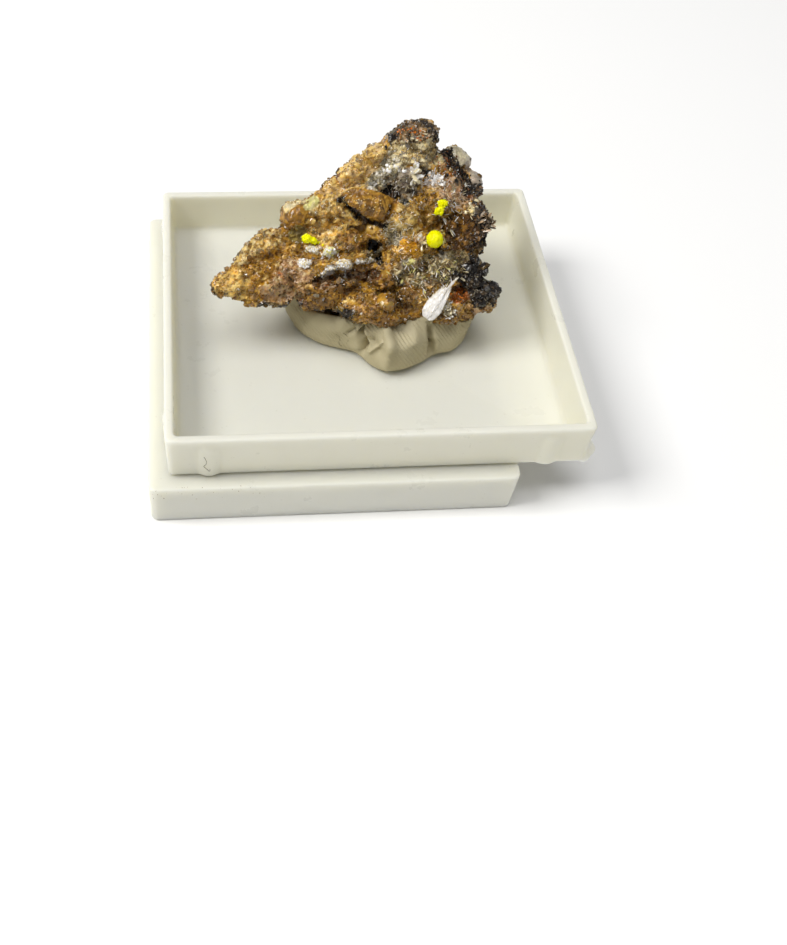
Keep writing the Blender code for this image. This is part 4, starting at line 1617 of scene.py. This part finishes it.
STREWS: tuple[Strew, ...] = (
    Strew(
        "ledge_thin", ((320, 275), (329, 269), (336, 268)), 90,
        Habit.GRAIN, Body.WHITE, SNOWS, 0.26, 1.0,
    ),
    Strew("ledge_crust", ((341, 264), (350, 265)), 170, Habit.GRAIN, Body.WHITE, SNOWS, 0.3, 1.9),
    Strew("ledge_end", ((356, 263), (374, 259)), 90, Habit.GRAIN, Body.WHITE, SNOWS, 0.24, 0.9),
    Strew("ledge_drip", ((345, 270), (345, 279)), 30, Habit.GRAIN, Body.WHITE, SNOWS, 0.2, 0.6),
    Strew("white_lump", ((303, 263), (307, 263)), 70, Habit.GRAIN, Body.WHITE, SNOWS, 0.28, 2.0),
    Strew(
        "pale_crumbs", ((308, 248), (317, 250)), 110,
        Habit.GRAIN, Body.WHITE, (Tint.WHITE, Tint.CREAM), 0.3, 1.2,
    ),
    Strew(
        "straw_crumbs", ((325, 253), (335, 250)), 150,
        Habit.GRAIN, Body.WHITE, (Tint.WHITE, Tint.STRAW), 0.32, 1.8,
    ),
    Strew(
        "ball_wedge", ((417, 238), (425, 244)), 40,
        Habit.BLADE, Body.WHITE, (Tint.WHITE, Tint.ROSE, Tint.CREAM), 0.6, 1.8,
    ),
    Strew(
        "ball_bed", ((442, 232), (445, 247)), 90,
        Habit.GRAIN, Body.WHITE, (Tint.OLIVE, Tint.HONEY, Tint.STRAW), 0.26, 1.4,
    ),
    Strew(
        "white_streak", ((415, 166), (414, 184)), 26,
        Habit.BLADE, Body.WHITE, (Tint.WHITE, Tint.CLEAR), 0.8, 1.0,
    ),
    Strew(
        "slanted_needle", ((441, 216), (448, 226)), 12,
        Habit.NEEDLE, Body.WHITE, (Tint.WHITE, Tint.CLEAR), 1.1, 0.6, 0.08, (13, 17),
    ),
    Strew(
        "tuft_blade", ((424, 184), (430, 175)), 16,
        Habit.BLADE, Body.WHITE, (Tint.WHITE,), 0.8, 0.8, 0.1, (8, -10),
    ),
    Strew(
        "tuft_flakes", ((430, 176), (440, 182)), 100,
        Habit.BLADE, Body.WHITE, (Tint.WHITE, Tint.WHITE, Tint.ROSE), 0.55, 3.0,
    ),
    Strew(
        "needle_glints", ((446, 180), (460, 204), (442, 214)), 170,
        Habit.NEEDLE, Body.WHITE, SNOWS, 0.5, 7.0, 0.9,
    ),
    Strew(
        "ledge_glints", ((380, 182), (390, 172), (396, 160)), 50,
        Habit.NUGGET, Body.WHITE, (Tint.CLEAR, Tint.WHITE, Tint.GREY), 0.5, 4.0, 0.8,
    ),
    Strew(
        "upright_glints", ((302, 226), (304, 234)), 8,
        Habit.NEEDLE, Body.WHITE, SNOWS, 1.0, 0.8, 0.06, (0, -1),
    ),
    Strew(
        "lilac_glints", ((400, 186), (414, 178), (420, 192)), 120,
        Habit.NEEDLE, Body.WHITE, (Tint.WHITE, Tint.LILAC, Tint.CLEAR), 0.5, 6.0, 0.8,
    ),
    Strew(
        "crest_glints", ((404, 150), (436, 152)), 60,
        Habit.BLADE, Body.CLEAR, (Tint.CREAM, Tint.WHITE), 0.5, 5.0, 0.8,
    ),
    Strew(
        "knob_specks", ((424, 140), (410, 128), (395, 134)), 50,
        Habit.GRAIN, Body.WHITE, (Tint.ORANGE, Tint.RUST), 0.2, 2.6,
    ),
    Strew(
        "knob_scale", ((408, 138), (424, 133)), 40,
        Habit.BLADE, Body.WHITE, (Tint.ROSE, Tint.CLEAR, Tint.GREY), 0.4, 2.6, 0.9,
    ),
    Strew(
        "rim_line", ((438, 141), (450, 157), (466, 178), (474, 193)), 240,
        Habit.GRAIN, Body.DARK, DARKS, 0.3, 1.5,
    ),
    Strew(
        "nodule_streaks", ((374, 196), (386, 210)), 34,
        Habit.NEEDLE, Body.DARK, (Tint.DARK_BROWN, Tint.BLACK), 0.45, 3.4, 0.5, (-4, 10),
    ),
    Strew(
        "nodule_glints", ((352, 196), (378, 204)), 40,
        Habit.GRAIN, Body.WHITE, (Tint.PALE_AMBER, Tint.CREAM), 0.14, 6.0,
    ),
    Strew(
        "rim_specks", ((436, 160), (452, 177)), 34,
        Habit.GRAIN, Body.WHITE, (Tint.ORANGE, Tint.RUST, Tint.ROSE), 0.2, 3.0,
    ),
    Strew(
        "corner_specks", ((456, 292), (464, 298)), 34,
        Habit.GRAIN, Body.WHITE, (Tint.ORANGE, Tint.RUST), 0.2, 2.4,
    ),
    Strew(
        "edge_splinters", ((487, 216), (493, 230)), 40,
        Habit.BLADE, Body.DARK, (Tint.SMOKE, Tint.ROSE, Tint.LILAC), 0.55, 1.6,
    ),
    Strew(
        "blade_glints", ((404, 270), (436, 276), (456, 268)), 110,
        Habit.BLADE, Body.WHITE, (Tint.CREAM, Tint.STRAW, Tint.CLEAR), 0.55, 7.0, 0.8,
    ),
    Strew(
        "blade_edges", ((404, 268), (430, 280), (458, 268)), 150,
        Habit.NEEDLE, Body.WHITE, (Tint.WHITE, Tint.CREAM), 0.6, 7.0, 0.5, (6, 10),
    ),
    Strew(
        "blade_streaks", ((444, 284), (456, 274)), 40,
        Habit.BLADE, Body.CLEAR, (Tint.WHITE, Tint.CLEAR, Tint.GREY), 0.55, 2.6, 0.3, (6, -10),
    ),
    Strew(
        "corner_glints", ((470, 272), (480, 298)), 20,
        Habit.NEEDLE, Body.DARK, (Tint.GREY, Tint.LILAC), 0.6, 4.0, 0.4,
    ),
    Strew(
        "foot_glints", ((443, 300), (450, 316)), 110,
        Habit.BLADE, Body.WHITE, (Tint.WHITE, Tint.CLEAR, Tint.GREY), 0.5, 2.4, 0.8,
    ),
    Strew(
        "middle_glints", ((384, 232), (404, 240), (396, 216)), 150,
        Habit.NEEDLE, Body.WHITE, (Tint.CLEAR, Tint.CREAM, Tint.WHITE), 0.55, 6.0, 0.9,
    ),
    Strew(
        "wing_edge", ((210, 283), (228, 268), (241, 244), (262, 231)), 90,
        Habit.NUGGET, Body.CLEAR, CREAMS, 0.34, 2.5,
    ),
)


@dataclass(frozen=True)
class CrystalCover:
    """The thousands of small crystals that stand on the rock's skin."""

    per_area: float = 7.6
    # A share of crystals take pale tints. They are pale crystals whose white also stands in for glints, a
    # painted highlight.
    pale_crystal_and_glint_share: float = 0.045
    pale_crystal_and_glint_tints: tuple[Tint, ...] = (Tint.WHITE, Tint.CREAM, Tint.CLEAR)
    clearing: float = 0.78
    burial: float = 0.36
    seed: int = 21
    fray_pixels: float = 3.0
    block_lean: float = 0.4
    blade_lean: float = 0.8
    first_share: float = 0.4
    strew_burial: float = 0.12
    strew_rise: float = 0.15

    def pick_points(self, mesh: bpy.types.Mesh) -> tuple[np.ndarray, np.ndarray, np.ndarray]:
        """Picks points all over a mesh, evenly by area.

        Args:
            mesh: The rock's skin.

        Returns:
            The points in metres, the surface's directions there, and shifts that fray the zones' borders.
        """
        chance = np.random.default_rng(self.seed)
        mesh.calc_loop_triangles()
        corners = np.empty(len(mesh.loop_triangles) * 3, np.int32)
        mesh.loop_triangles.foreach_get("vertices", corners)
        corners = corners.reshape(-1, 3)
        places, _ = points_of(mesh)
        first, second, third = (places[corners[:, side]] for side in range(3))
        crosses = np.cross(second - first, third - first)
        areas = np.linalg.norm(crosses, axis=1) / 2
        total = int(areas.sum() / MM**2 * self.per_area)
        picked = chance.choice(len(areas), total, p=areas / areas.sum())
        a, b = chance.random((2, total))
        flip = a + b > 1
        a, b = np.where(flip, 1 - a, a), np.where(flip, 1 - b, b)
        across = a[:, None] * (second - first)[picked] + b[:, None] * (third - first)[picked]
        ways = crosses[picked] / (2 * areas[picked])[:, None]
        return first[picked] + across, ways, chance.normal(0, self.fray_pixels, (total, 2))

    def scatter(self, rock: bpy.types.Object, zone_map: ZoneMap) -> dict[Body, CrystalBatch]:
        """Spreads crystals over the skin by area, each with its zone's habit and tints.

        Args:
            rock: The rock's skin.
            zone_map: The zones.

        Returns:
            A batch of crystals for each body.
        """
        dice = random.Random(self.seed)
        shapes = {habit: crystal_shapes(habit, dice) for habit in Habit}
        batches = {body: CrystalBatch() for body in Body}
        points, ways, wobble = self.pick_points(rock.data)
        zones, _ = zone_map.choose(points, ways, wobble)
        for point, way, which in zip(points, ways, zones):
            zone = zone_map.zones[which]
            luck = dice.random()
            if zone.habit is Habit.BARE or luck > zone.density:
                continue
            size = zone.size * dice.uniform(0.5, 1.0) ** 1.5 * 1.5
            loose = self.block_lean if FORMS[zone.habit].block else self.blade_lean
            lean = gauss_vector(dice) * loose
            turn = frame_along(Vector(way) + lean, size * MM, any_turn(dice))
            tone = LINEAR[zone.tints[0]] * self.first_share
            tone = tone + LINEAR[dice.choice(zone.tints)] * (1 - self.first_share)
            # Some crystals take a pale tint, partly pale crystals and partly painted highlights for glints.
            if zone.body is not Body.DARK and dice.random() < self.pale_crystal_and_glint_share:
                tone = LINEAR[dice.choice(self.pale_crystal_and_glint_tints)]
            colour = np.clip(tone * dice.uniform(0.8, 1.2), 0, 1)
            if zone.body in (Body.AMBER, Body.CLEAR):
                colour **= self.clearing
            foot = point - way * size * self.burial * MM
            batches[zone.body].add(dice.choice(shapes[zone.habit]), turn, foot, colour)
        return batches

    def lay(self, strew: Strew, tree: BVHTree, batches: dict[Body, CrystalBatch]) -> None:
        """Lays one strew's crystals on the rock.

        Args:
            strew: The strew.
            tree: The rock's surface.
            batches: Where the crystals are gathered.
        """
        dice = random.Random(strew.name)
        shapes = crystal_shapes(strew.habit, dice)
        legs = len(strew.path) - 1
        right, up, _ = CAMERA.axes()
        for _ in range(strew.count):
            along = dice.uniform(0, legs)
            leg = min(int(along), legs - 1)
            share = along - leg
            ends = zip(strew.path[leg], strew.path[leg + 1])
            pixel = tuple(a * (1 - share) + b * share + dice.gauss(0, strew.spread) for a, b in ends)
            place, normal = spot_on(tree, pixel)
            size = strew.size * dice.uniform(0.6, 1.3)
            way = normal
            if strew.aim:
                aimed = right * strew.aim[0] - up * strew.aim[1]
                way = aimed.normalized() + normal * self.strew_rise
            lean = gauss_vector(dice) * strew.lean
            turn = frame_along(way.normalized() + lean, size * MM, any_turn(dice))
            colour = LINEAR[dice.choice(strew.tints)] * dice.uniform(0.8, 1.15)
            foot = np.array(place - normal * size * self.strew_burial * MM)
            batches[strew.body].add(dice.choice(shapes), turn, foot, colour)


NEEDLE_KINDS = 4


@dataclass(frozen=True)
class Haiweeite:
    """A ball or tuft of haiweeite: a soft core bristling with fine fibres."""

    node: str
    fibres: int
    rough: float
    rounds: int
    crumbs: tuple[tuple[Pixel, float], ...] = ()
    tints: tuple[Tint, ...] = (Tint.YELLOW,)
    voxel: float = 0.05
    fibre_length: float = 0.12
    fibre_lean: float = 0.3
    burial: float = 0.35
    mottle: float = 0.35

    def build(self, rock: BVHTree) -> bpy.types.Object:
        """Makes the core from the node's form, lays its crumbs and stands the fibres on it.

        Args:
            rock: The rock's surface, which carries the crumbs.

        Returns:
            The ball or tuft.
        """
        core = fine_skin(f"{self.node}_fibres", self.node, self.voxel, self.rounds)
        for pixel, radius in self.crumbs:
            core = join_pieces(core, self.crumb(rock, pixel, radius))
        places, normals = points_of(core.data)
        for index, (place, normal) in enumerate(zip(places, normals)):
            here = Vector(place) / MM
            push = noise.noise(here * 2.2) * self.rough * 1.4 + noise.noise(here * 6) * self.rough
            places[index] += normal * (push - self.rough * 0.6) * MM
        move_points(core.data, places)
        places, normals = points_of(core.data)
        bristles = self.bristles(places, normals)
        shades = [1.0 + self.mottle * noise.noise(Vector(place) / MM * 4) for place in places]
        tints = np.ones((len(places), 4))
        tints[:, :3] = LINEAR[self.tints[0]] * np.array(shades)[:, None]
        paint(core.data, np.clip(tints, 0, 1))
        return join_pieces(core, bristles)

    def bristles(self, places: np.ndarray, normals: np.ndarray) -> bpy.types.Object:
        """Stands fine fibres on the core.

        Args:
            places: The core's points.
            normals: The surface's directions there.

        Returns:
            The fibres' object.
        """
        dice = random.Random(self.node)
        batch = CrystalBatch()
        needle = crystal_shapes(Habit.NEEDLE, dice, NEEDLE_KINDS)
        for _ in range(self.fibres):
            pick = dice.randrange(len(places))
            way = Vector(normals[pick]) + gauss_vector(dice) * self.fibre_lean
            length = self.fibre_length * dice.uniform(0.5, 1.1)
            turn = frame_along(way, length * MM, any_turn(dice))
            colour = LINEAR[dice.choice(self.tints)] * dice.uniform(0.95, 1.3)
            foot = places[pick] - normals[pick] * self.fibre_length * self.burial * MM
            batch.add(dice.choice(needle), turn, foot, colour)
        return batch.build("bristles")

    def crumb(self, rock: BVHTree, pixel: Pixel, radius: float) -> bpy.types.Object:
        """Makes one small round crumb that sits on the rock.

        Args:
            rock: The rock's surface.
            pixel: Where the photograph shows the crumb.
            radius: Its radius in millimetres.

        Returns:
            The crumb's object.
        """
        place, normal = spot_on(rock, pixel)
        work = bmesh.new()
        bmesh.ops.create_icosphere(work, subdivisions=3, radius=radius * MM)
        bmesh.ops.translate(work, verts=work.verts, vec=place + normal * radius * 0.35 * MM)
        mesh = bpy.data.meshes.new("crumb")
        work.to_mesh(mesh)
        work.free()
        return link_mesh("crumb", mesh)


def join_pieces(keep: bpy.types.Object, other: bpy.types.Object) -> bpy.types.Object:
    """Joins another mesh into the first one.

    Args:
        keep: The object that stays.
        other: The object that is taken up in it.

    Returns:
        The object that stays.
    """
    work = bmesh.new()
    work.from_mesh(keep.data)
    work.from_mesh(other.data)
    work.to_mesh(keep.data)
    work.free()
    gone = other.data
    bpy.data.objects.remove(other)
    bpy.data.meshes.remove(gone)
    return keep


@dataclass(frozen=True)
class Leaf:
    """One leaf-shaped blade, from its foot to its tip in the photograph's pixels."""

    foot: Pixel
    tip: Pixel
    width: float
    thickness: float = 0.28
    rise: float = 0.0


@dataclass(frozen=True)
class BladeSheaf:
    """The sheaf of white bertrandite blades low on the specimen's face."""

    node: str = "bertrandite_blades"
    leaves: tuple[Leaf, ...] = (
        Leaf((426, 318), (447, 288), 2.0, 0.6),
        Leaf((424, 313), (444, 289), 1.1, 0.3, 0.12),
        Leaf((431, 319), (449, 291), 0.9, 0.3, 0.16),
        Leaf((426, 317), (445, 291), 0.8, 0.3, 0.24),
        Leaf((446, 291), (456, 280), 0.18, 0.12, -0.05),
    )
    fibre_foot: Pixel = (427, 320)
    fibre_tip: Pixel = (447, 286)
    face: tuple[float, float, float] = (-0.25, -0.35, 0.9)
    fibres: int = 800
    fibre_length: float = 0.36
    rows: int = 18
    sides: int = 14
    flutes: float = 0.025
    foot_depth: float = 0.3
    tip_rise: float = 0.1
    longest_step: float = 0.5

    def build(self) -> bpy.types.Object:
        """Makes the leaves at the depth of the node's solid.

        Returns:
            The sheaf.
        """
        low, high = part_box(self.node)
        eye = CAMERA.eye()
        reach = ((low + high) / 2 - eye).length
        parts = []
        for index, leaf in enumerate(self.leaves):
            near = reach - leaf.rise * MM
            start = eye + CAMERA.ray(leaf.foot) * (near + self.foot_depth * MM)
            end = eye + CAMERA.ray(leaf.tip) * (near - self.tip_rise * MM)
            parts.append(self.leaf(leaf, start, end, index))
        keep, *others = parts
        for other in others:
            keep = join_pieces(keep, other)
        along = (CAMERA.ray(self.fibre_tip) - CAMERA.ray(self.fibre_foot)).normalized()
        return join_pieces(keep, self.fibre_coat(keep, along))

    def fibre_coat(self, leaves: bpy.types.Object, along: Vector) -> bpy.types.Object:
        """Lays fine fibres on the leaves.

        Args:
            leaves: The joined leaves.
            along: Where the fibres point.

        Returns:
            The fibres' object.
        """
        dice = random.Random(self.node)
        places, normals = points_of(leaves.data)
        batch = CrystalBatch()
        shapes = crystal_shapes(Habit.NEEDLE, dice, NEEDLE_KINDS)
        for _ in range(self.fibres):
            first, second = dice.randrange(len(places)), dice.random()
            beside = min(first + 1, len(places) - 1)
            foot = places[first] * second + places[beside] * (1 - second)
            if np.linalg.norm(places[first] - places[beside]) > self.longest_step * MM:
                continue
            way = along + gauss_vector(dice) * 0.12 + Vector(normals[first]) * 0.06
            length = self.fibre_length * dice.uniform(0.5, 1.2)
            turn = frame_along(way, length * MM, any_turn(dice))
            colour = LINEAR[dice.choice(SNOWS)] * dice.uniform(0.85, 1.0)
            batch.add(dice.choice(shapes), turn, foot, colour)
        return batch.build("leaf_fibres")

    def leaf(self, leaf: Leaf, start: Vector, end: Vector, index: int) -> bpy.types.Object:
        """Lofts one fluted leaf.

        Args:
            leaf: Its size.
            start: Its foot.
            end: Its tip.
            index: Sets its flutes apart from the others'.

        Returns:
            The leaf's object.
        """
        along = (end - start).normalized()
        across = along.cross(Vector(self.face)).normalized()
        out = across.cross(along)
        verts = []
        for row in range(self.rows + 1):
            share = row / self.rows
            wide = (share + 0.03) ** 0.4 * (1.03 - share) ** 0.75 * 1.7
            for side in range(self.sides):
                angle = math.tau * side / self.sides
                flute = 1 + self.flutes * math.sin(side * 2.6 + index) * 2
                ragged = noise.noise(Vector((share * 12, side * 1.7, index * 5.1))) * 0.08
                x = math.cos(angle) * leaf.width / 2 * wide * flute
                y = math.sin(angle) * leaf.thickness / 2 * wide * flute + ragged
                verts.append(start.lerp(end, share) + (across * (x + ragged) + out * y) * MM)
        faces = []
        for row in range(self.rows):
            for side in range(self.sides):
                here = row * self.sides + side
                beside = row * self.sides + (side + 1) % self.sides
                faces.append((here, beside, beside + self.sides))
                faces.append((here, beside + self.sides, here + self.sides))
        for side in range(1, self.sides - 1):
            faces.append((0, side + 1, side))
            last = self.rows * self.sides
            faces.append((last, last + side, last + side + 1))
        verts = np.array([vert[:] for vert in verts])
        shades = [0.9 + 0.2 * noise.noise(Vector(vert) / MM * 3) for vert in verts]
        colours = np.ones((len(verts), 4))
        colours[:, :3] = np.clip(LINEAR[Tint.WHITE] * np.array(shades)[:, None], 0, 1)
        return mesh_object("bertrandite_sheaf", verts, np.array(faces), colours)


@dataclass(frozen=True)
class SoftLight:
    """A square soft light that faces the specimen, its place and side in millimetres."""

    name: str
    place: tuple[float, float, float]
    size: float
    power: float
    colour: Colour
    target: tuple[float, float, float] = (0, 0, 12)

    def create(self) -> None:
        """Adds the light to the scene."""
        data = bpy.data.lights.new(self.name, "AREA")
        data.size = self.size * MM
        data.energy = self.power
        data.color = self.colour
        lamp = bpy.data.objects.new(self.name, data)
        lamp.location = Vector(self.place) * MM
        sight = Vector(self.target) * MM - lamp.location
        lamp.rotation_euler = sight.to_track_quat("-Z", "Y").to_euler()
        bpy.context.scene.collection.objects.link(lamp)


@dataclass(frozen=True)
class Studio:
    """A pale floor, a bright even surround and two soft lights."""

    floor_size: float = 900.0
    floor_colour: tuple[int, int, int] = (250, 250, 250)
    floor_roughness: float = 0.9
    world_strength: float = 0.25
    lights: tuple[SoftLight, ...] = (
        SoftLight("key_light", (-325, -25, 400), 200, 1.85, (1.0, 0.99, 0.96)),
        SoftLight("top_light", (10, 0, 540), 320, 1.15, (1.0, 1.0, 1.0)),
    )

    def build(self) -> None:
        """Adds the floor, the surround and the lights."""
        half = self.floor_size / 2 * MM
        verts = np.array([[-half, -half, 0], [half, -half, 0], [half, half, 0], [-half, half, 0]])
        floor = mesh_object("studio_floor", verts, np.array([[0, 1, 2, 3]]))
        material = bpy.data.materials.new("pale_floor")
        material.use_nodes = True
        shader = material.node_tree.nodes["Principled BSDF"]
        shader.inputs["Base Color"].default_value = (*linear(self.floor_colour), 1)
        shader.inputs["Roughness"].default_value = self.floor_roughness
        floor.data.materials.append(material)
        world = bpy.data.worlds.new("surround")
        world.use_nodes = True
        back = world.node_tree.nodes["Background"]
        back.inputs["Color"].default_value = (1.0, 1.0, 1.0, 1)
        back.inputs["Strength"].default_value = self.world_strength
        bpy.context.scene.world = world
        for light in self.lights:
            light.create()
        bpy.context.scene.view_settings.view_transform = "Standard"


FINISHES = {Body.AMBER: AMBER, Body.CLEAR: CLEAR, Body.DARK: DARK, Body.WHITE: WHITE}
TUFTS = (
    Haiweeite("haiweeite_ball", fibres=5200, rough=0.04, rounds=60),
    Haiweeite(
        "haiweeite_upper_tuft", fibres=2600, rough=0.14, rounds=14,
        crumbs=(((444, 203), 0.2), ((436, 213), 0.16)),
    ),
    Haiweeite(
        "haiweeite_left_tuft", fibres=2600, rough=0.1, rounds=9,
        crumbs=(((319, 243.5), 0.2), ((323, 245), 0.16)),
    ),
)


def main() -> None:
    """Builds the specimen, its putty, its trays and the studio."""
    logging.basicConfig(level=logging.INFO, format="%(name)s: %(message)s")
    noise.seed_set(NOISE_SEED)
    groups = Groups()
    CAMERA.create()
    Studio().build()
    plastic = PLASTIC.create(groups)
    display = Tray("display_tray", upturned=False, draft=0.2, ridges=True).build()
    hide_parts("display_tray")
    finish_piece(display, plastic, True)
    stand = Tray("stand_tray", upturned=True, draft=-0.1).build()
    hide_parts("stand_tray")
    finish_piece(stand, plastic, True)

    marks = TrayMarks()
    finish_piece(marks.build_hair(caster(display)), HAIR.create(groups), True)
    finish_piece(marks.build_specks(caster(stand)), DUST.create(groups), False)

    zone_map = ZoneMap(ZONES)
    rock = Rock().build(zone_map)
    tree = caster(rock)
    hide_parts("matrix_rock")
    finish_piece(rock, ROCK.create(groups), False)

    cushion = Putty()
    putty = cushion.build(caster(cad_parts["matrix_rock"]))
    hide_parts("mounting_putty")
    finish_piece(putty, PUTTY.create(groups), True)
    finish_piece(cushion.build_hair(caster(putty)), HAIR.create(groups), True)

    cover = CrystalCover()
    batches = cover.scatter(rock, zone_map)
    for strew in STREWS:
        cover.lay(strew, tree, batches)
    for body, batch in batches.items():
        finish_piece(batch.build(f"{body.value}_crystals"), FINISHES[body].create(groups), False)

    yellow = YELLOW.create(groups)
    for sample in TUFTS:
        tuft = sample.build(tree)
        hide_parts(sample.node)
        finish_piece(tuft, yellow, False)
    sheaf = BladeSheaf().build()
    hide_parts("bertrandite_blades")
    finish_piece(sheaf, WHITE.create(groups), False)


if __name__ == "__main__":
    main()
